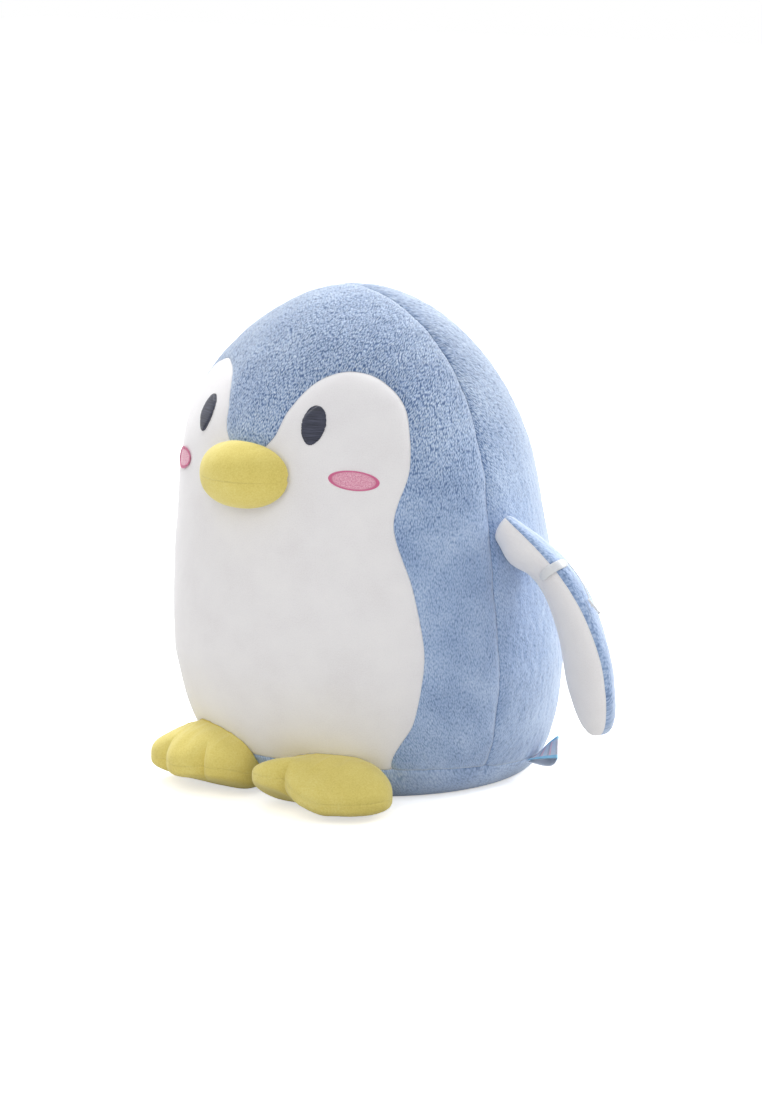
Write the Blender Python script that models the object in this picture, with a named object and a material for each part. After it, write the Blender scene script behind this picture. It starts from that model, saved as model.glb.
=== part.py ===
"""Plush penguin: a stuffed body in five fabric panels, a beak, two flippers, two feet and a label.

Metres, +Z up. The origin is the centre of the flat underside, the face looks along -Y, and the
penguin's own left is +X. A "turn" is an angle around the body: 0 at the face, +90 at its left.
"""
import math

import bmesh
import bpy
from mathutils import Matrix, Vector

# Driving dimensions
HEIGHT = 0.250
BELLY_RADIUS = 0.1005
BELLY_HEIGHT = 0.065
FLOOR_RADIUS = 0.70 * BELLY_RADIUS
CROWN_POWERS = (2.78, 1.855)
BASE_POWERS = (1.30, 2.69)
WAIST_DEPTH = 0.0033
WAIST_HEIGHT = 0.126
WAIST_SPREAD = 0.040
CHEEK_FULLNESS = 0.0025
CHEEK_HEIGHT = 0.192
CHEEK_SPREAD = 0.022
LEAN = 0.021

FABRIC = 0.0020
LOOSE = 0.0008
BODY_GRID = (40, 18)
FILLING_GRID = (24, 12)
GAP = 0.0003
HALF_GAP = GAP / 2

BASE_SEAM_HEIGHT = 0.0125
BASE_SEAM_SLOPE = -0.085
SIDE_SEAM_Y = -0.021
SIDE_SEAM_BOW = 0.008
FACE_FRONT_Y = -0.030

BEAK_CENTRE_Z = 0.1650
BEAK_HALF_WIDTH = 0.0268
BEAK_HALF_HEIGHT = 0.0162
BEAK_DEPTH = 0.0158
BEAK_SEAM_Z = 0.1635
BEAK_SKIN = 0.0016
BEAK_RIM = 0.0022
BEAK_OUTLINE_POWER = 2.2
BEAK_DOME_POWERS = (2.1, 0.57)

EYE = {"turn": 24.4, "height": 0.1904, "half_width": 0.0059, "half_height": 0.0092}
BLUSH = {"turn": 37.5, "height": 0.1650, "half_width": 0.0124, "half_height": 0.0049}
EMBROIDERY = 0.0008

FLIPPER_ROOT = {"front": (77.0, 0.1445), "back": (98.5, 0.1310)}
FLIPPER_LENGTH = 0.1140
FLIPPER_REST = {
    1: {"turn": 0.0, "stand_off": 0.0068, "lift": (49.4, 20.5), "sweep": (9.3, -7.9), "twist": (19.4, 51.3),
        "bend_end": 0.70, "twist_end": 0.80},
    -1: {"turn": 11.0, "stand_off": 0.0070, "lift": (45.0, 9.0), "sweep": (17.0, 17.0), "twist": (0.0, -8.0),
         "bend_end": 0.38, "twist_end": 0.45},
}
FLIPPER_START, FLIPPER_END = 0.06, 0.985
FLIPPER_HALF_CHORD = 0.0260
FLIPPER_ROOT_HALF_CHORD = 0.0190
FLIPPER_OUTER_THICK = 0.0105
FLIPPER_INNER_THICK = 0.0090
FLIPPER_ROOT_THICK = 0.0030
FLIPPER_SWELL_END = 0.45
FLIPPER_TIP_START = 0.60
FLIPPER_TIP_POWER = 2.6

LIMB_SKIN = 0.0016
FOOT_PIVOT_Z = 0.0260
FOOT_SEAM_Z = 0.0100
FOOT_TOP = 0.0170
FOOT_CROWN_POWERS = (2.6, 0.55)
TOE_HEIGHT_SHARE = 0.72
TOE_REACH = 0.030
SOLE_CLEARANCE = 0.0006
TOE_CENTRES = ((-0.0235, 0.0165), (0.0010, 0.0215), (0.0245, 0.0150))
TOE_RADIUS = 0.0125
PAD_CENTRE = (0.0, 0.004)
PAD_HALF_SIZE = (0.0340, 0.0200)
TOE_RISE_ACROSS = (-0.0200, 0.0100)
TOE_RISE_ALONG = (0.0020, 0.0280)
FEET = {"left": {"side": 1, "centre": (0.0400, -0.0880), "heading": 13.0, "toe_rise": (0.0070, 0.0005)},
        "right": {"side": -1, "centre": (0.0315, -0.0850), "heading": 6.0, "toe_rise": (0.0055, 0.0040)}}

LABEL_TURN = 102.5
LABEL_SIZE = (0.0140, 0.0150, 0.0014)
LABEL_TILT = 28.0
LABEL_ROLL = 36.0
LABEL_STAND_OFF = 0.0016

COLOURS = {
    "blue_plush": ((0.33, 0.43, 0.60), 0.95),
    "white_plush": ((0.86, 0.84, 0.85), 0.95),
    "yellow_plush": ((0.80, 0.66, 0.20), 0.90),
    "navy_thread": ((0.04, 0.05, 0.10), 0.55),
    "pink_thread": ((0.80, 0.30, 0.42), 0.60),
    "blue_thread": ((0.30, 0.42, 0.60), 0.60),
    "fibre_filling": ((0.90, 0.90, 0.88), 1.00),
    "woven_tape": ((0.82, 0.86, 0.90), 0.70),
    "clear_nylon": ((0.85, 0.88, 0.90), 0.35),
}


# Numbers and curves

def smoothstep(value):
    t = min(max(value, 0.0), 1.0)
    return t * t * (3 - 2 * t)


def ramp(value, start, end):
    return smoothstep((value - start) / (end - start))


def mix(a, b, t):
    return a + (b - a) * t


def lean(z):
    """How far the body's centre line has moved forward at a height."""
    return -LEAN * math.sin(math.pi / 2 * min(max(z / HEIGHT, 0.0), 1.0))


def body_radius(turn, z):
    """The body's radius: a flat-bottomed egg with a slight waist and full cheeks."""
    if z >= BELLY_HEIGHT:
        rise = (z - BELLY_HEIGHT) / (HEIGHT - BELLY_HEIGHT)
        radius = BELLY_RADIUS * max(1 - rise ** CROWN_POWERS[0], 0.0) ** (1 / CROWN_POWERS[1])
    else:
        drop = (BELLY_HEIGHT - z) / BELLY_HEIGHT
        round_off = max(1 - drop ** BASE_POWERS[0], 0.0) ** (1 / BASE_POWERS[1])
        radius = mix(FLOOR_RADIUS, BELLY_RADIUS, round_off)
    crown_fade = min(1.0, 6 * (1 - z / HEIGHT))
    radius -= crown_fade * WAIST_DEPTH * math.exp(-((z - WAIST_HEIGHT) / WAIST_SPREAD) ** 2)
    cheek = math.exp(-((z - CHEEK_HEIGHT) / CHEEK_SPREAD) ** 2)
    return radius + CHEEK_FULLNESS * cheek * smoothstep(math.cos(turn) / 0.6)


def on_body(turn, z):
    radius = body_radius(turn, z)
    return Vector((radius * math.sin(turn), lean(z) - radius * math.cos(turn), z))


def body_normal(turn, z):
    step = 1e-4
    low, high = max(z - step, 1e-6), min(z + step, HEIGHT - 1e-6)
    along = on_body(turn + 1e-3, z) - on_body(turn - 1e-3, z)
    return along.cross(on_body(turn, high) - on_body(turn, low)).normalized()


def off_body(turn, z, out):
    """A point at a distance outside (or, if negative, inside) the body's surface."""
    return on_body(turn, z) + body_normal(turn, z) * out


def body_front_y(x, z):
    """The y of the body's front surface at a front-view position."""
    turn = 0.0
    for _ in range(12):
        turn = math.asin(min(max(x / body_radius(turn, z), -0.99), 0.99))
    return on_body(turn, z).y


def spline(points, steps, closed=True):
    """Catmull-Rom curve through 2-D points."""
    count = len(points)
    out = []
    for i in range(count if closed else count - 1):
        p = [Vector(points[(i + k) % count if closed else min(max(i + k, 0), count - 1)])
             for k in (-1, 0, 1, 2)]
        for s in range(steps):
            t = s / steps
            out.append(0.5 * (2 * p[1] + (p[2] - p[0]) * t
                              + (2 * p[0] - 5 * p[1] + 4 * p[2] - p[3]) * t ** 2
                              + (3 * p[1] - p[0] - 3 * p[2] + p[3]) * t ** 3))
    return out


def grown(outline, distance):
    """A counter-clockwise outline moved outwards by a distance."""
    count = len(outline)
    moved = []
    for i, point in enumerate(outline):
        along = (outline[(i + 1) % count] - outline[i - 1]).normalized()
        moved.append(point + Vector((along.y, -along.x)) * distance)
    return moved


def face_outline():
    """Front view of the white panel: straight sides, a waist, two lobes and the peak between them."""
    half = [(0.0590, -0.0100), (0.0620, 0.0200), (0.0750, 0.0440), (0.0810, 0.0750), (0.0772, 0.1100),
            (0.0698, 0.1420), (0.0728, 0.1700), (0.0676, 0.1940), (0.0552, 0.2090), (0.0405, 0.2150),
            (0.0275, 0.2105), (0.0192, 0.1970), (0.0145, 0.1830)]
    mirrored = [(-x, z) for x, z in reversed(half)]
    return spline(half + [(0.0, 0.1720)] + mirrored, 3)


# Blender objects

def clear_scene():
    for thing in list(bpy.data.objects):
        bpy.data.objects.remove(thing, do_unlink=True)


def material(name):
    found = bpy.data.materials.get(name)
    if found:
        return found
    made = bpy.data.materials.new(name)
    made.use_nodes = True
    shader = made.node_tree.nodes["Principled BSDF"]
    colour, roughness = COLOURS[name]
    shader.inputs["Base Color"].default_value = (*colour, 1)
    shader.inputs["Roughness"].default_value = roughness
    shader.inputs["Metallic"].default_value = 0.0
    return made


def add_object(name, bm, colour=None):
    bmesh.ops.recalc_face_normals(bm, faces=bm.faces)
    mesh = bpy.data.meshes.new(name)
    bm.to_mesh(mesh)
    bm.free()
    made = bpy.data.objects.new(name, mesh)
    bpy.context.scene.collection.objects.link(made)
    if colour:
        mesh.materials.append(material(colour))
        mesh.shade_smooth()
        mesh.set_sharp_from_angle(angle=math.radians(50))
    else:
        made.hide_render = True
        made.display_type = "WIRE"
    return made


def cut(piece, cutter, operation="DIFFERENCE"):
    modifier = piece.modifiers.new(operation.title() + "_" + cutter.name, "BOOLEAN")
    modifier.operation = operation
    modifier.solver = "EXACT"
    modifier.object = cutter


def pivot(name, point):
    """An empty at a joint, which the moving pieces hang from."""
    made = bpy.data.objects.new(name, None)
    made.empty_display_size = 0.01
    made.location = point
    bpy.context.scene.collection.objects.link(made)
    return made


def hang(pieces, parent):
    for piece in pieces:
        piece.parent = parent
        piece.matrix_parent_inverse = Matrix.Translation(-parent.location)


def rings_to_bmesh(rings, caps, bm=None):
    """Joins rings of points with quads, with a fan from each cap point to the ring at its end."""
    bm = bm or bmesh.new()
    made = [[bm.verts.new(p) for p in ring] for ring in rings]
    count = len(rings[0])
    for low, high in zip(made, made[1:]):
        for i in range(count):
            j = (i + 1) % count
            bm.faces.new((low[i], low[j], high[j], high[i]))
    for ring, cap in ((made[0], caps[0]), (made[-1], caps[1])):
        if cap is None:
            continue
        tip = bm.verts.new(cap)
        for i in range(count):
            bm.faces.new((ring[i], ring[(i + 1) % count], tip))
    return bm


def prism(name, outline, place):
    """A wire cutter: an outline swept between the two positions that place() gives it."""
    bm = bmesh.new()
    ends = [[bm.verts.new(place(p, end)) for p in outline] for end in (0, 1)]
    count = len(outline)
    for i in range(count):
        j = (i + 1) % count
        bm.faces.new((ends[0][i], ends[0][j], ends[1][j], ends[1][i]))
    for ring in ends:
        bm.faces.new(ring)
    return add_object(name, bm)


# Body

def body_surface(bm, out, columns, rows):
    """The body's closed surface, moved outwards by a distance along its normals."""
    rings = []
    floor_z = -out
    for row in range(rows):
        z = HEIGHT * (1 - math.cos(math.pi * (row + 0.001) / rows)) / 2
        ring = [off_body(math.tau * c / columns, z, out) for c in range(columns)]
        for point in ring:
            point.z = max(point.z, floor_z)
        rings.append(ring)
    top = Vector((0, lean(HEIGHT), HEIGHT + out))
    return rings_to_bmesh(rings, (Vector((0, 0, floor_z)), top), bm)


def body_shell(name, colour):
    """The whole fabric skin, from which each panel is cut."""
    bm = body_surface(bmesh.new(), 0.0, *BODY_GRID)
    outer = bm.faces[:]
    inner_bm = body_surface(bmesh.new(), -FABRIC, *BODY_GRID)
    inner = bpy.data.meshes.new("inner_skin")
    bmesh.ops.recalc_face_normals(inner_bm, faces=inner_bm.faces)
    bmesh.ops.reverse_faces(inner_bm, faces=inner_bm.faces)
    inner_bm.to_mesh(inner)
    inner_bm.free()
    bmesh.ops.recalc_face_normals(bm, faces=outer)
    bm.from_mesh(inner)
    bpy.data.meshes.remove(inner)
    mesh = bpy.data.meshes.new(name)
    bm.to_mesh(mesh)
    bm.free()
    made = bpy.data.objects.new(name, mesh)
    bpy.context.scene.collection.objects.link(made)
    mesh.materials.append(material(colour))
    mesh.shade_smooth()
    mesh.set_sharp_from_angle(angle=math.radians(50))
    return made


def face_cutter(name, growth):
    return prism(name, grown(face_outline(), growth),
                 lambda p, end: (p.x, mix(-0.150, FACE_FRONT_Y, end), p.y))


def base_cutter(name, shift):
    """Everything below the base seam, which rises towards the front."""
    reach = 0.130
    return prism(name, [Vector((-reach, -0.02)), Vector((reach, -0.02)),
                        Vector((reach, BASE_SEAM_HEIGHT + BASE_SEAM_SLOPE * reach + shift)),
                        Vector((-reach, BASE_SEAM_HEIGHT - BASE_SEAM_SLOPE * reach + shift))],
                 lambda p, end: (mix(-reach, reach, end), p.x, p.y))


def back_cutter(name, shift):
    """Everything behind the side seam, whose line bows forward at mid height."""
    heights = [HEIGHT * (i / 10) for i in range(11)]
    seam = [Vector((SIDE_SEAM_Y - SIDE_SEAM_BOW * math.sin(math.pi * z / HEIGHT) + shift, z))
            for z in heights]
    outline = [Vector((seam[0].x, -0.02))] + seam + [Vector((seam[-1].x, HEIGHT + 0.02)),
                                                     Vector((0.130, HEIGHT + 0.02)),
                                                     Vector((0.130, -0.02))]
    return prism(name, outline, lambda p, end: (mix(-0.130, 0.130, end), p.x, p.y))


def side_cutter(name, side):
    """Everything on one side of the centre line."""
    near, far = side * HALF_GAP, side * 0.130
    corners = [Vector((-0.1, -0.02)), Vector((0.130, -0.02)), Vector((0.130, 0.27)), Vector((-0.1, 0.27))]
    return prism(name, corners, lambda p, end: (mix(near, far, end), p.x, p.y))


def make_body():
    face_in, face_out = face_cutter("cut_face_inner", -HALF_GAP), face_cutter("cut_face_outer", HALF_GAP)
    base_in, base_out = base_cutter("cut_base_inner", -HALF_GAP), base_cutter("cut_base_outer", HALF_GAP)
    back_in, back_out = back_cutter("cut_back_inner", HALF_GAP), back_cutter("cut_back_outer", -HALF_GAP)

    face = body_shell("face_belly_panel", "white_plush")
    cut(face, face_in, "INTERSECT")
    cut(face, base_out)

    hood = body_shell("front_hood", "blue_plush")
    cut(hood, back_out)
    cut(hood, face_out)
    cut(hood, base_out)

    for word, side in (("left", 1), ("right", -1)):
        back = body_shell("back_panel_" + word, "blue_plush")
        cut(back, back_in, "INTERSECT")
        cut(back, side_cutter("cut_half_" + word, side), "INTERSECT")
        cut(back, base_out)

    base = body_shell("base_panel", "blue_plush")
    cut(base, base_in, "INTERSECT")

    filling = body_surface(bmesh.new(), -(FABRIC + LOOSE), *FILLING_GRID)
    add_object("body_filling", filling, "fibre_filling")


# Flat pieces that lie on the body

def patch(name, colour, spec, side):
    """An embroidered oval that follows the face, a hair above it."""
    centre_turn = math.radians(spec["turn"]) * side
    scale = 1 / body_radius(centre_turn, spec["height"])
    columns, rows = 20, 2

    def layer(out):
        def at(grow, angle):
            turn = centre_turn + grow * spec["half_width"] * scale * math.cos(angle)
            z = spec["height"] + grow * spec["half_height"] * math.sin(angle)
            return off_body(turn, z, out)
        rings = [[at((r + 1) / rows, math.tau * c / columns) for c in range(columns)] for r in range(rows)]
        return at(0, 0), rings

    low_centre, low = layer(GAP)
    high_centre, high = layer(GAP + EMBROIDERY)
    bm = rings_to_bmesh(low + high[::-1], (low_centre, high_centre))
    return add_object(name, bm, colour)


def make_embroidery():
    for word, side in (("left", 1), ("right", -1)):
        patch("eye_" + word, "navy_thread", EYE, side)
        patch("blush_" + word, "pink_thread", BLUSH, side)


def make_closing_stitch():
    """The hand-sewn ladder stitch that closes the back seam once the body is stuffed."""
    low_z, stitches, reach, radius = 0.070, 9, 0.0016, 0.0004
    path = []
    for i in range(stitches):
        z = low_z + 0.005 * i
        swing = reach * (1 if i % 2 else -1)
        path.append(off_body(math.pi + swing / BELLY_RADIUS, z, GAP + 2 * radius))
    rings = []
    for i, point in enumerate(path):
        along = (path[min(i + 1, len(path) - 1)] - path[max(i - 1, 0)]).normalized()
        sideways = along.cross(Vector((0, 1, 0))).normalized()
        outwards = sideways.cross(along)
        rings.append([point + radius * (math.cos(a) * sideways + math.sin(a) * outwards)
                      for a in (math.tau * k / 6 for k in range(6))])
    add_object("closing_stitch", rings_to_bmesh(rings, (path[0], path[-1])), "blue_thread")


# Beak

def beak_dome(bm, inset, back_depth):
    """A blunt rounded cushion standing on the face; its back follows the face."""
    columns, rows = 24, 4
    power = BEAK_OUTLINE_POWER
    width, height = BEAK_HALF_WIDTH - inset, BEAK_HALF_HEIGHT - inset

    def at(grow, angle, depth):
        cos, sin = math.cos(angle), math.sin(angle)
        reach = grow / (abs(cos) ** power + abs(sin) ** power) ** (1 / power)
        x, z = width * reach * cos, BEAK_CENTRE_Z + height * reach * sin
        return Vector((x, body_front_y(x, z) - depth, z))

    def ring(grow, depth):
        return [at(grow, math.tau * c / columns, depth) for c in range(columns)]

    def dome(grow):
        swell = (1 - grow ** BEAK_DOME_POWERS[0]) ** BEAK_DOME_POWERS[1]
        return BEAK_RIM + (BEAK_DEPTH - inset - BEAK_RIM) * swell

    front = [ring(g, dome(g)) for g in (math.sin(math.pi / 2 * (r + 1) / rows) for r in range(rows))]
    back = [ring(g, back_depth) for g in (1.0, 0.5)]
    return rings_to_bmesh(front + back, (at(0, 0, BEAK_DEPTH - inset), at(0, 0, back_depth)), bm)


def make_beak():
    root = 2 * GAP
    cavity = add_object("cut_beak_cavity", beak_dome(bmesh.new(), BEAK_SKIN, -0.004))
    reach = 0.05

    def half_space(name, z_near, z_far):
        corners = [Vector((-reach, -0.16)), Vector((reach, -0.16)), Vector((reach, 0)), Vector((-reach, 0))]
        return prism(name, corners, lambda p, end: (p.x, p.y, mix(z_near, z_far, end)))

    halves = (("beak_upper_cover", BEAK_SEAM_Z + HALF_GAP, BEAK_SEAM_Z + reach),
              ("beak_lower_cover", BEAK_SEAM_Z - HALF_GAP, BEAK_SEAM_Z - reach))
    for name, z_near, z_far in halves:
        cover = add_object(name, beak_dome(bmesh.new(), 0.0, root), "yellow_plush")
        cut(cover, cavity)
        cut(cover, half_space("cut_" + name, z_near, z_far), "INTERSECT")
    add_object("beak_filling", beak_dome(bmesh.new(), BEAK_SKIN + LOOSE, root), "fibre_filling")


# Flippers

def flipper_frame(s, side):
    """A flipper's centre, chord direction (to its trailing edge) and outer normal, as if on the left."""
    rest = FLIPPER_REST[side]
    turns = [math.radians(FLIPPER_ROOT[end][0] + rest["turn"]) for end in ("front", "back")]
    front, back = on_body(turns[0], FLIPPER_ROOT["front"][1]), on_body(turns[1], FLIPPER_ROOT["back"][1])
    middle_turn = sum(turns) / 2
    outwards = Vector((math.sin(middle_turn), -math.cos(middle_turn), 0))
    root = (back - front).normalized()

    def direction(at):
        bend = smoothstep(at / rest["bend_end"])
        lift, sweep = math.radians(mix(*rest["lift"], bend)), math.radians(mix(*rest["sweep"], bend))
        return Vector((math.sin(lift) * math.cos(sweep), math.sin(sweep), -math.cos(lift) * math.cos(sweep)))

    centre = (front + back) / 2 + outwards * rest["stand_off"]
    steps = 24
    for k in range(steps):
        centre += direction(s * (k + 0.5) / steps) * (FLIPPER_LENGTH * s / steps)
    down = direction(s)
    chord = (root - down * root.dot(down)).normalized()
    normal = down.cross(chord)
    if normal.dot(outwards) < 0:
        normal.negate()
    twist = math.radians(mix(*rest["twist"], smoothstep(s / rest["twist_end"])))
    return (centre, chord * math.cos(twist) - normal * math.sin(twist),
            normal * math.cos(twist) + chord * math.sin(twist))


def flipper_ring(s, inset, columns, side):
    """A lens-shaped cross-section; column 0 is on the leading edge, the first half is outside."""
    centre, chord, normal = flipper_frame(s, side)
    tip = max((s - FLIPPER_TIP_START) / (1 - FLIPPER_TIP_START), 0.0)
    round_tip = (1 - tip ** FLIPPER_TIP_POWER) ** 0.5
    swell = math.sin(math.pi / 2 * min(1, s / FLIPPER_SWELL_END))
    half_chord = mix(FLIPPER_ROOT_HALF_CHORD, FLIPPER_HALF_CHORD, swell) * round_tip - inset
    outer, inner = (max(mix(FLIPPER_ROOT_THICK, thick, swell) * round_tip ** 0.6 - inset, 0.0004)
                    for thick in (FLIPPER_OUTER_THICK, FLIPPER_INNER_THICK))
    half_chord = max(half_chord, 0.0006)
    ring = []
    for c in range(columns):
        angle = math.tau * c / columns
        thick = outer if angle <= math.pi else inner
        point = centre - chord * half_chord * math.cos(angle) + normal * thick * math.sin(angle)
        ring.append(Vector((side * point.x, point.y, point.z)))
    return ring


def flipper_solid(inset, side, half=None):
    """A closed lens, or the outer (+1) or inner (-1) half-shell of it when half is given."""
    columns, rows = 16, 11
    shares = [(1 - math.cos(math.pi * r / (rows - 1))) / 2 for r in range(rows)]
    stations = [mix(FLIPPER_START, FLIPPER_END, share) for share in shares]
    if half is None:
        rings = [flipper_ring(s, inset, columns, side) for s in stations[1:-1]]
        caps = [sum(ring, Vector()) / columns for ring in (rings[0], rings[-1])]
        return rings_to_bmesh(rings, caps)
    picked = range(0, columns // 2 + 1) if half > 0 else range(columns // 2, columns + 1)
    sections = []
    for s in stations:
        outer = flipper_ring(s, inset, columns, side)
        inner = flipper_ring(s, inset + LIMB_SKIN, columns, side)
        normal = flipper_frame(s, side)[2]
        part = Vector((side * normal.x, normal.y, normal.z)) * HALF_GAP * half
        loop = [outer[c % columns] + part for c in picked]
        sections.append(loop + [inner[c % columns] + part for c in reversed(picked)])
    return closed_strip(sections)


def closed_strip(sections):
    """Sweeps a closed C-shaped section; each end is closed by a strip across the fabric's thickness."""
    bm = bmesh.new()
    rows = [[bm.verts.new(p) for p in section] for section in sections]
    count = len(rows[0])
    for low, high in zip(rows, rows[1:]):
        for i in range(count):
            j = (i + 1) % count
            bm.faces.new((low[i], low[j], high[j], high[i]))
    for row in (rows[0], rows[-1]):
        for i in range(count // 2 - 1):
            bm.faces.new((row[i], row[i + 1], row[count - 2 - i], row[count - 1 - i]))
    return bm


def flipper_pivot(side):
    centre = flipper_frame(0.0, side)[0]
    return Vector((side * centre.x, centre.y, centre.z))


def make_flippers():
    for word, side in (("left", 1), ("right", -1)):
        name = "flipper_" + word
        pieces = [add_object(name + "_outer", flipper_solid(0.0, side, 1), "blue_plush"),
                  add_object(name + "_inner", flipper_solid(0.0, side, -1), "white_plush"),
                  add_object(name + "_filling", flipper_solid(LIMB_SKIN + 1.5 * LOOSE, side),
                             "fibre_filling")]
        if side > 0:
            pieces.append(make_tag_fastener())
        hang(pieces, pivot(name + "_pivot", flipper_pivot(side)))


def make_tag_fastener():
    """The nylon loop that held the shop tag: a thin paddle, bent round the leading edge."""
    s, half_width, half_thick, clear = 0.29, 0.0018, 0.0004, 0.0012
    centre, chord, normal = flipper_frame(s, 1)
    ahead, behind = flipper_frame(s + 0.02, 1)[0], flipper_frame(s - 0.02, 1)[0]
    along = (ahead - behind).normalized()
    rings = []
    for i in range(7):
        angle = math.radians(mix(-50, 50, i / 6))
        across = (normal * math.sin(angle) * FLIPPER_OUTER_THICK
                  - chord * math.cos(angle) * FLIPPER_HALF_CHORD)
        outwards = (-chord * math.cos(angle) / FLIPPER_HALF_CHORD
                    + normal * math.sin(angle) / FLIPPER_OUTER_THICK).normalized()
        rings.append([centre + across + outwards * (clear + half_thick * b) + along * half_width * a
                      for a, b in ((-1, -1), (1, -1), (1, 1), (-1, 1))])
    caps = [sum(ring, Vector()) / 4 for ring in (rings[0], rings[-1])]
    return add_object("tag_fastener", rings_to_bmesh(rings, caps), "clear_nylon")


# Feet

def foot_reach(angle):
    """Distance from the foot's middle to its outline: a pad with three rounded toes in front."""
    def exit_distance(centre, half_size):
        ux, uy = math.cos(angle) / half_size[0], math.sin(angle) / half_size[1]
        cx, cy = centre[0] / half_size[0], centre[1] / half_size[1]
        a, b, c = ux * ux + uy * uy, ux * cx + uy * cy, cx * cx + cy * cy - 1
        inside = b * b - a * c
        return max((b + math.sqrt(inside)) / a, 0.0) if inside > 0 else 0.0
    shapes = [(PAD_CENTRE, PAD_HALF_SIZE)] + [(c, (TOE_RADIUS, TOE_RADIUS)) for c in TOE_CENTRES]
    power = 9
    return sum(exit_distance(*shape) ** power for shape in shapes) ** (1 / power)


def foot_solid(inset, spec, half=None):
    """A stuffed pad lying on the floor, or its upper (+1) or lower (-1) half-shell."""
    columns, rows = 32, 3
    side = spec["side"]
    heading = math.radians(spec["heading"])

    def at(grow, column, skin_inset, half_sign):
        angle = math.tau * column / columns
        reach = max(foot_reach(angle) - skin_inset, 0.001) * grow
        u, v = reach * math.cos(angle), reach * math.sin(angle)
        crown = max(1 - grow ** FOOT_CROWN_POWERS[0], 0.0) ** FOOT_CROWN_POWERS[1]
        if half_sign > 0:
            top = FOOT_TOP * mix(1.0, TOE_HEIGHT_SHARE, smoothstep(v / TOE_REACH))
            z = FOOT_SEAM_Z + (top - skin_inset) * crown
        else:
            z = FOOT_SEAM_Z - (FOOT_SEAM_Z - SOLE_CLEARANCE - skin_inset) * crown ** 0.5
        z += mix(*spec["toe_rise"], ramp(u, *TOE_RISE_ACROSS)) * ramp(v, *TOE_RISE_ALONG)
        x = u * math.cos(heading) + v * math.sin(heading)
        y = u * math.sin(heading) - v * math.cos(heading)
        return Vector((side * (spec["centre"][0] + x), spec["centre"][1] + y, z + half_sign * 1e-5))

    def cap(skin_inset, half_sign):
        rings = [[at(g, c, skin_inset, half_sign) for c in range(columns)]
                 for g in (math.sin(math.pi / 2 * (r + 1) / (rows + 1)) for r in range(rows))]
        return at(0, 0, skin_inset, half_sign), rings

    rim = [at(1.0, c, inset, 1) for c in range(columns)]
    if half is None:
        top, top_rings = cap(inset, 1)
        bottom, bottom_rings = cap(inset, -1)
        return rings_to_bmesh(top_rings + [rim] + bottom_rings[::-1], (top, bottom))
    part = Vector((0, 0, HALF_GAP * half))
    tip, rings = cap(inset, half)
    inner_tip, inner_rings = cap(inset + LIMB_SKIN, half)
    inner_rim = [at(1.0, c, inset + LIMB_SKIN, 1) for c in range(columns)]
    loops = rings + [rim, inner_rim] + inner_rings[::-1]
    return rings_to_bmesh([[p + part for p in loop] for loop in loops], (tip + part, inner_tip + part))


def make_feet():
    clearance = add_object("cut_body_clearance", body_surface(bmesh.new(), 0.0007, *BODY_GRID))
    for word, spec in FEET.items():
        name = "foot_" + word
        pieces = [add_object(name + "_upper", foot_solid(0.0, spec, 1), "yellow_plush"),
                  add_object(name + "_sole", foot_solid(0.0, spec, -1), "yellow_plush"),
                  add_object(name + "_filling", foot_solid(LIMB_SKIN + LOOSE, spec), "fibre_filling")]
        for piece in pieces:
            cut(piece, clearance)
        x = spec["side"] * spec["centre"][0]
        hang(pieces, pivot(name + "_pivot", (x, body_front_y(x, FOOT_PIVOT_Z) - GAP, FOOT_PIVOT_Z)))


# Label

def make_label():
    """A folded woven loop, sewn into the base seam by its edge; it stands out and twists on the way."""
    turn, tilt = math.radians(LABEL_TURN), math.radians(LABEL_TILT)
    outwards = Vector((math.sin(turn), -math.cos(turn), 0))
    sideways = Vector((math.cos(turn), math.sin(turn), 0))
    seam_z = BASE_SEAM_HEIGHT + BASE_SEAM_SLOPE * on_body(turn, BASE_SEAM_HEIGHT).y
    root = on_body(turn, seam_z) + outwards * LABEL_STAND_OFF
    along = outwards * math.cos(tilt) + Vector((0, 0, math.sin(tilt)))
    upwards = along.cross(sideways)
    length, half_width, half_thick = LABEL_SIZE[0], LABEL_SIZE[1] / 2, LABEL_SIZE[2] / 2
    steps, across = 5, (-1, -1 / 3, 1 / 3, 1)
    sections = []
    for k in range(steps + 1):
        roll = math.radians(LABEL_ROLL) * k / steps
        width = (sideways * math.cos(roll) + upwards * math.sin(roll)) * half_width
        thick = (upwards * math.cos(roll) - sideways * math.sin(roll)) * half_thick
        centre = root + along * length * k / steps
        lower = [centre + width * a - thick for a in across]
        sections.append(lower + [centre + width * a + thick for a in reversed(across)])
    label = add_object("woven_label", closed_strip(sections), "woven_tape")
    hang([label], pivot("woven_label_pivot", root))


def make_penguin():
    clear_scene()
    make_body()
    make_embroidery()
    make_closing_stitch()
    make_beak()
    make_flippers()
    make_feet()
    make_label()


make_penguin()
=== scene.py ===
"""Plush penguin, the visual model: sewn plush panels, embroidery, beak, flippers, feet and label.

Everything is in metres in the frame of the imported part: +Z up, the face looks along -Y, and the
penguin's own left is +X. A "turn" is an angle around the body: 0 at the face, +90 degrees at its left.
"""
from math import cos, pi, radians, sin, sqrt, tan, tau

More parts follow.
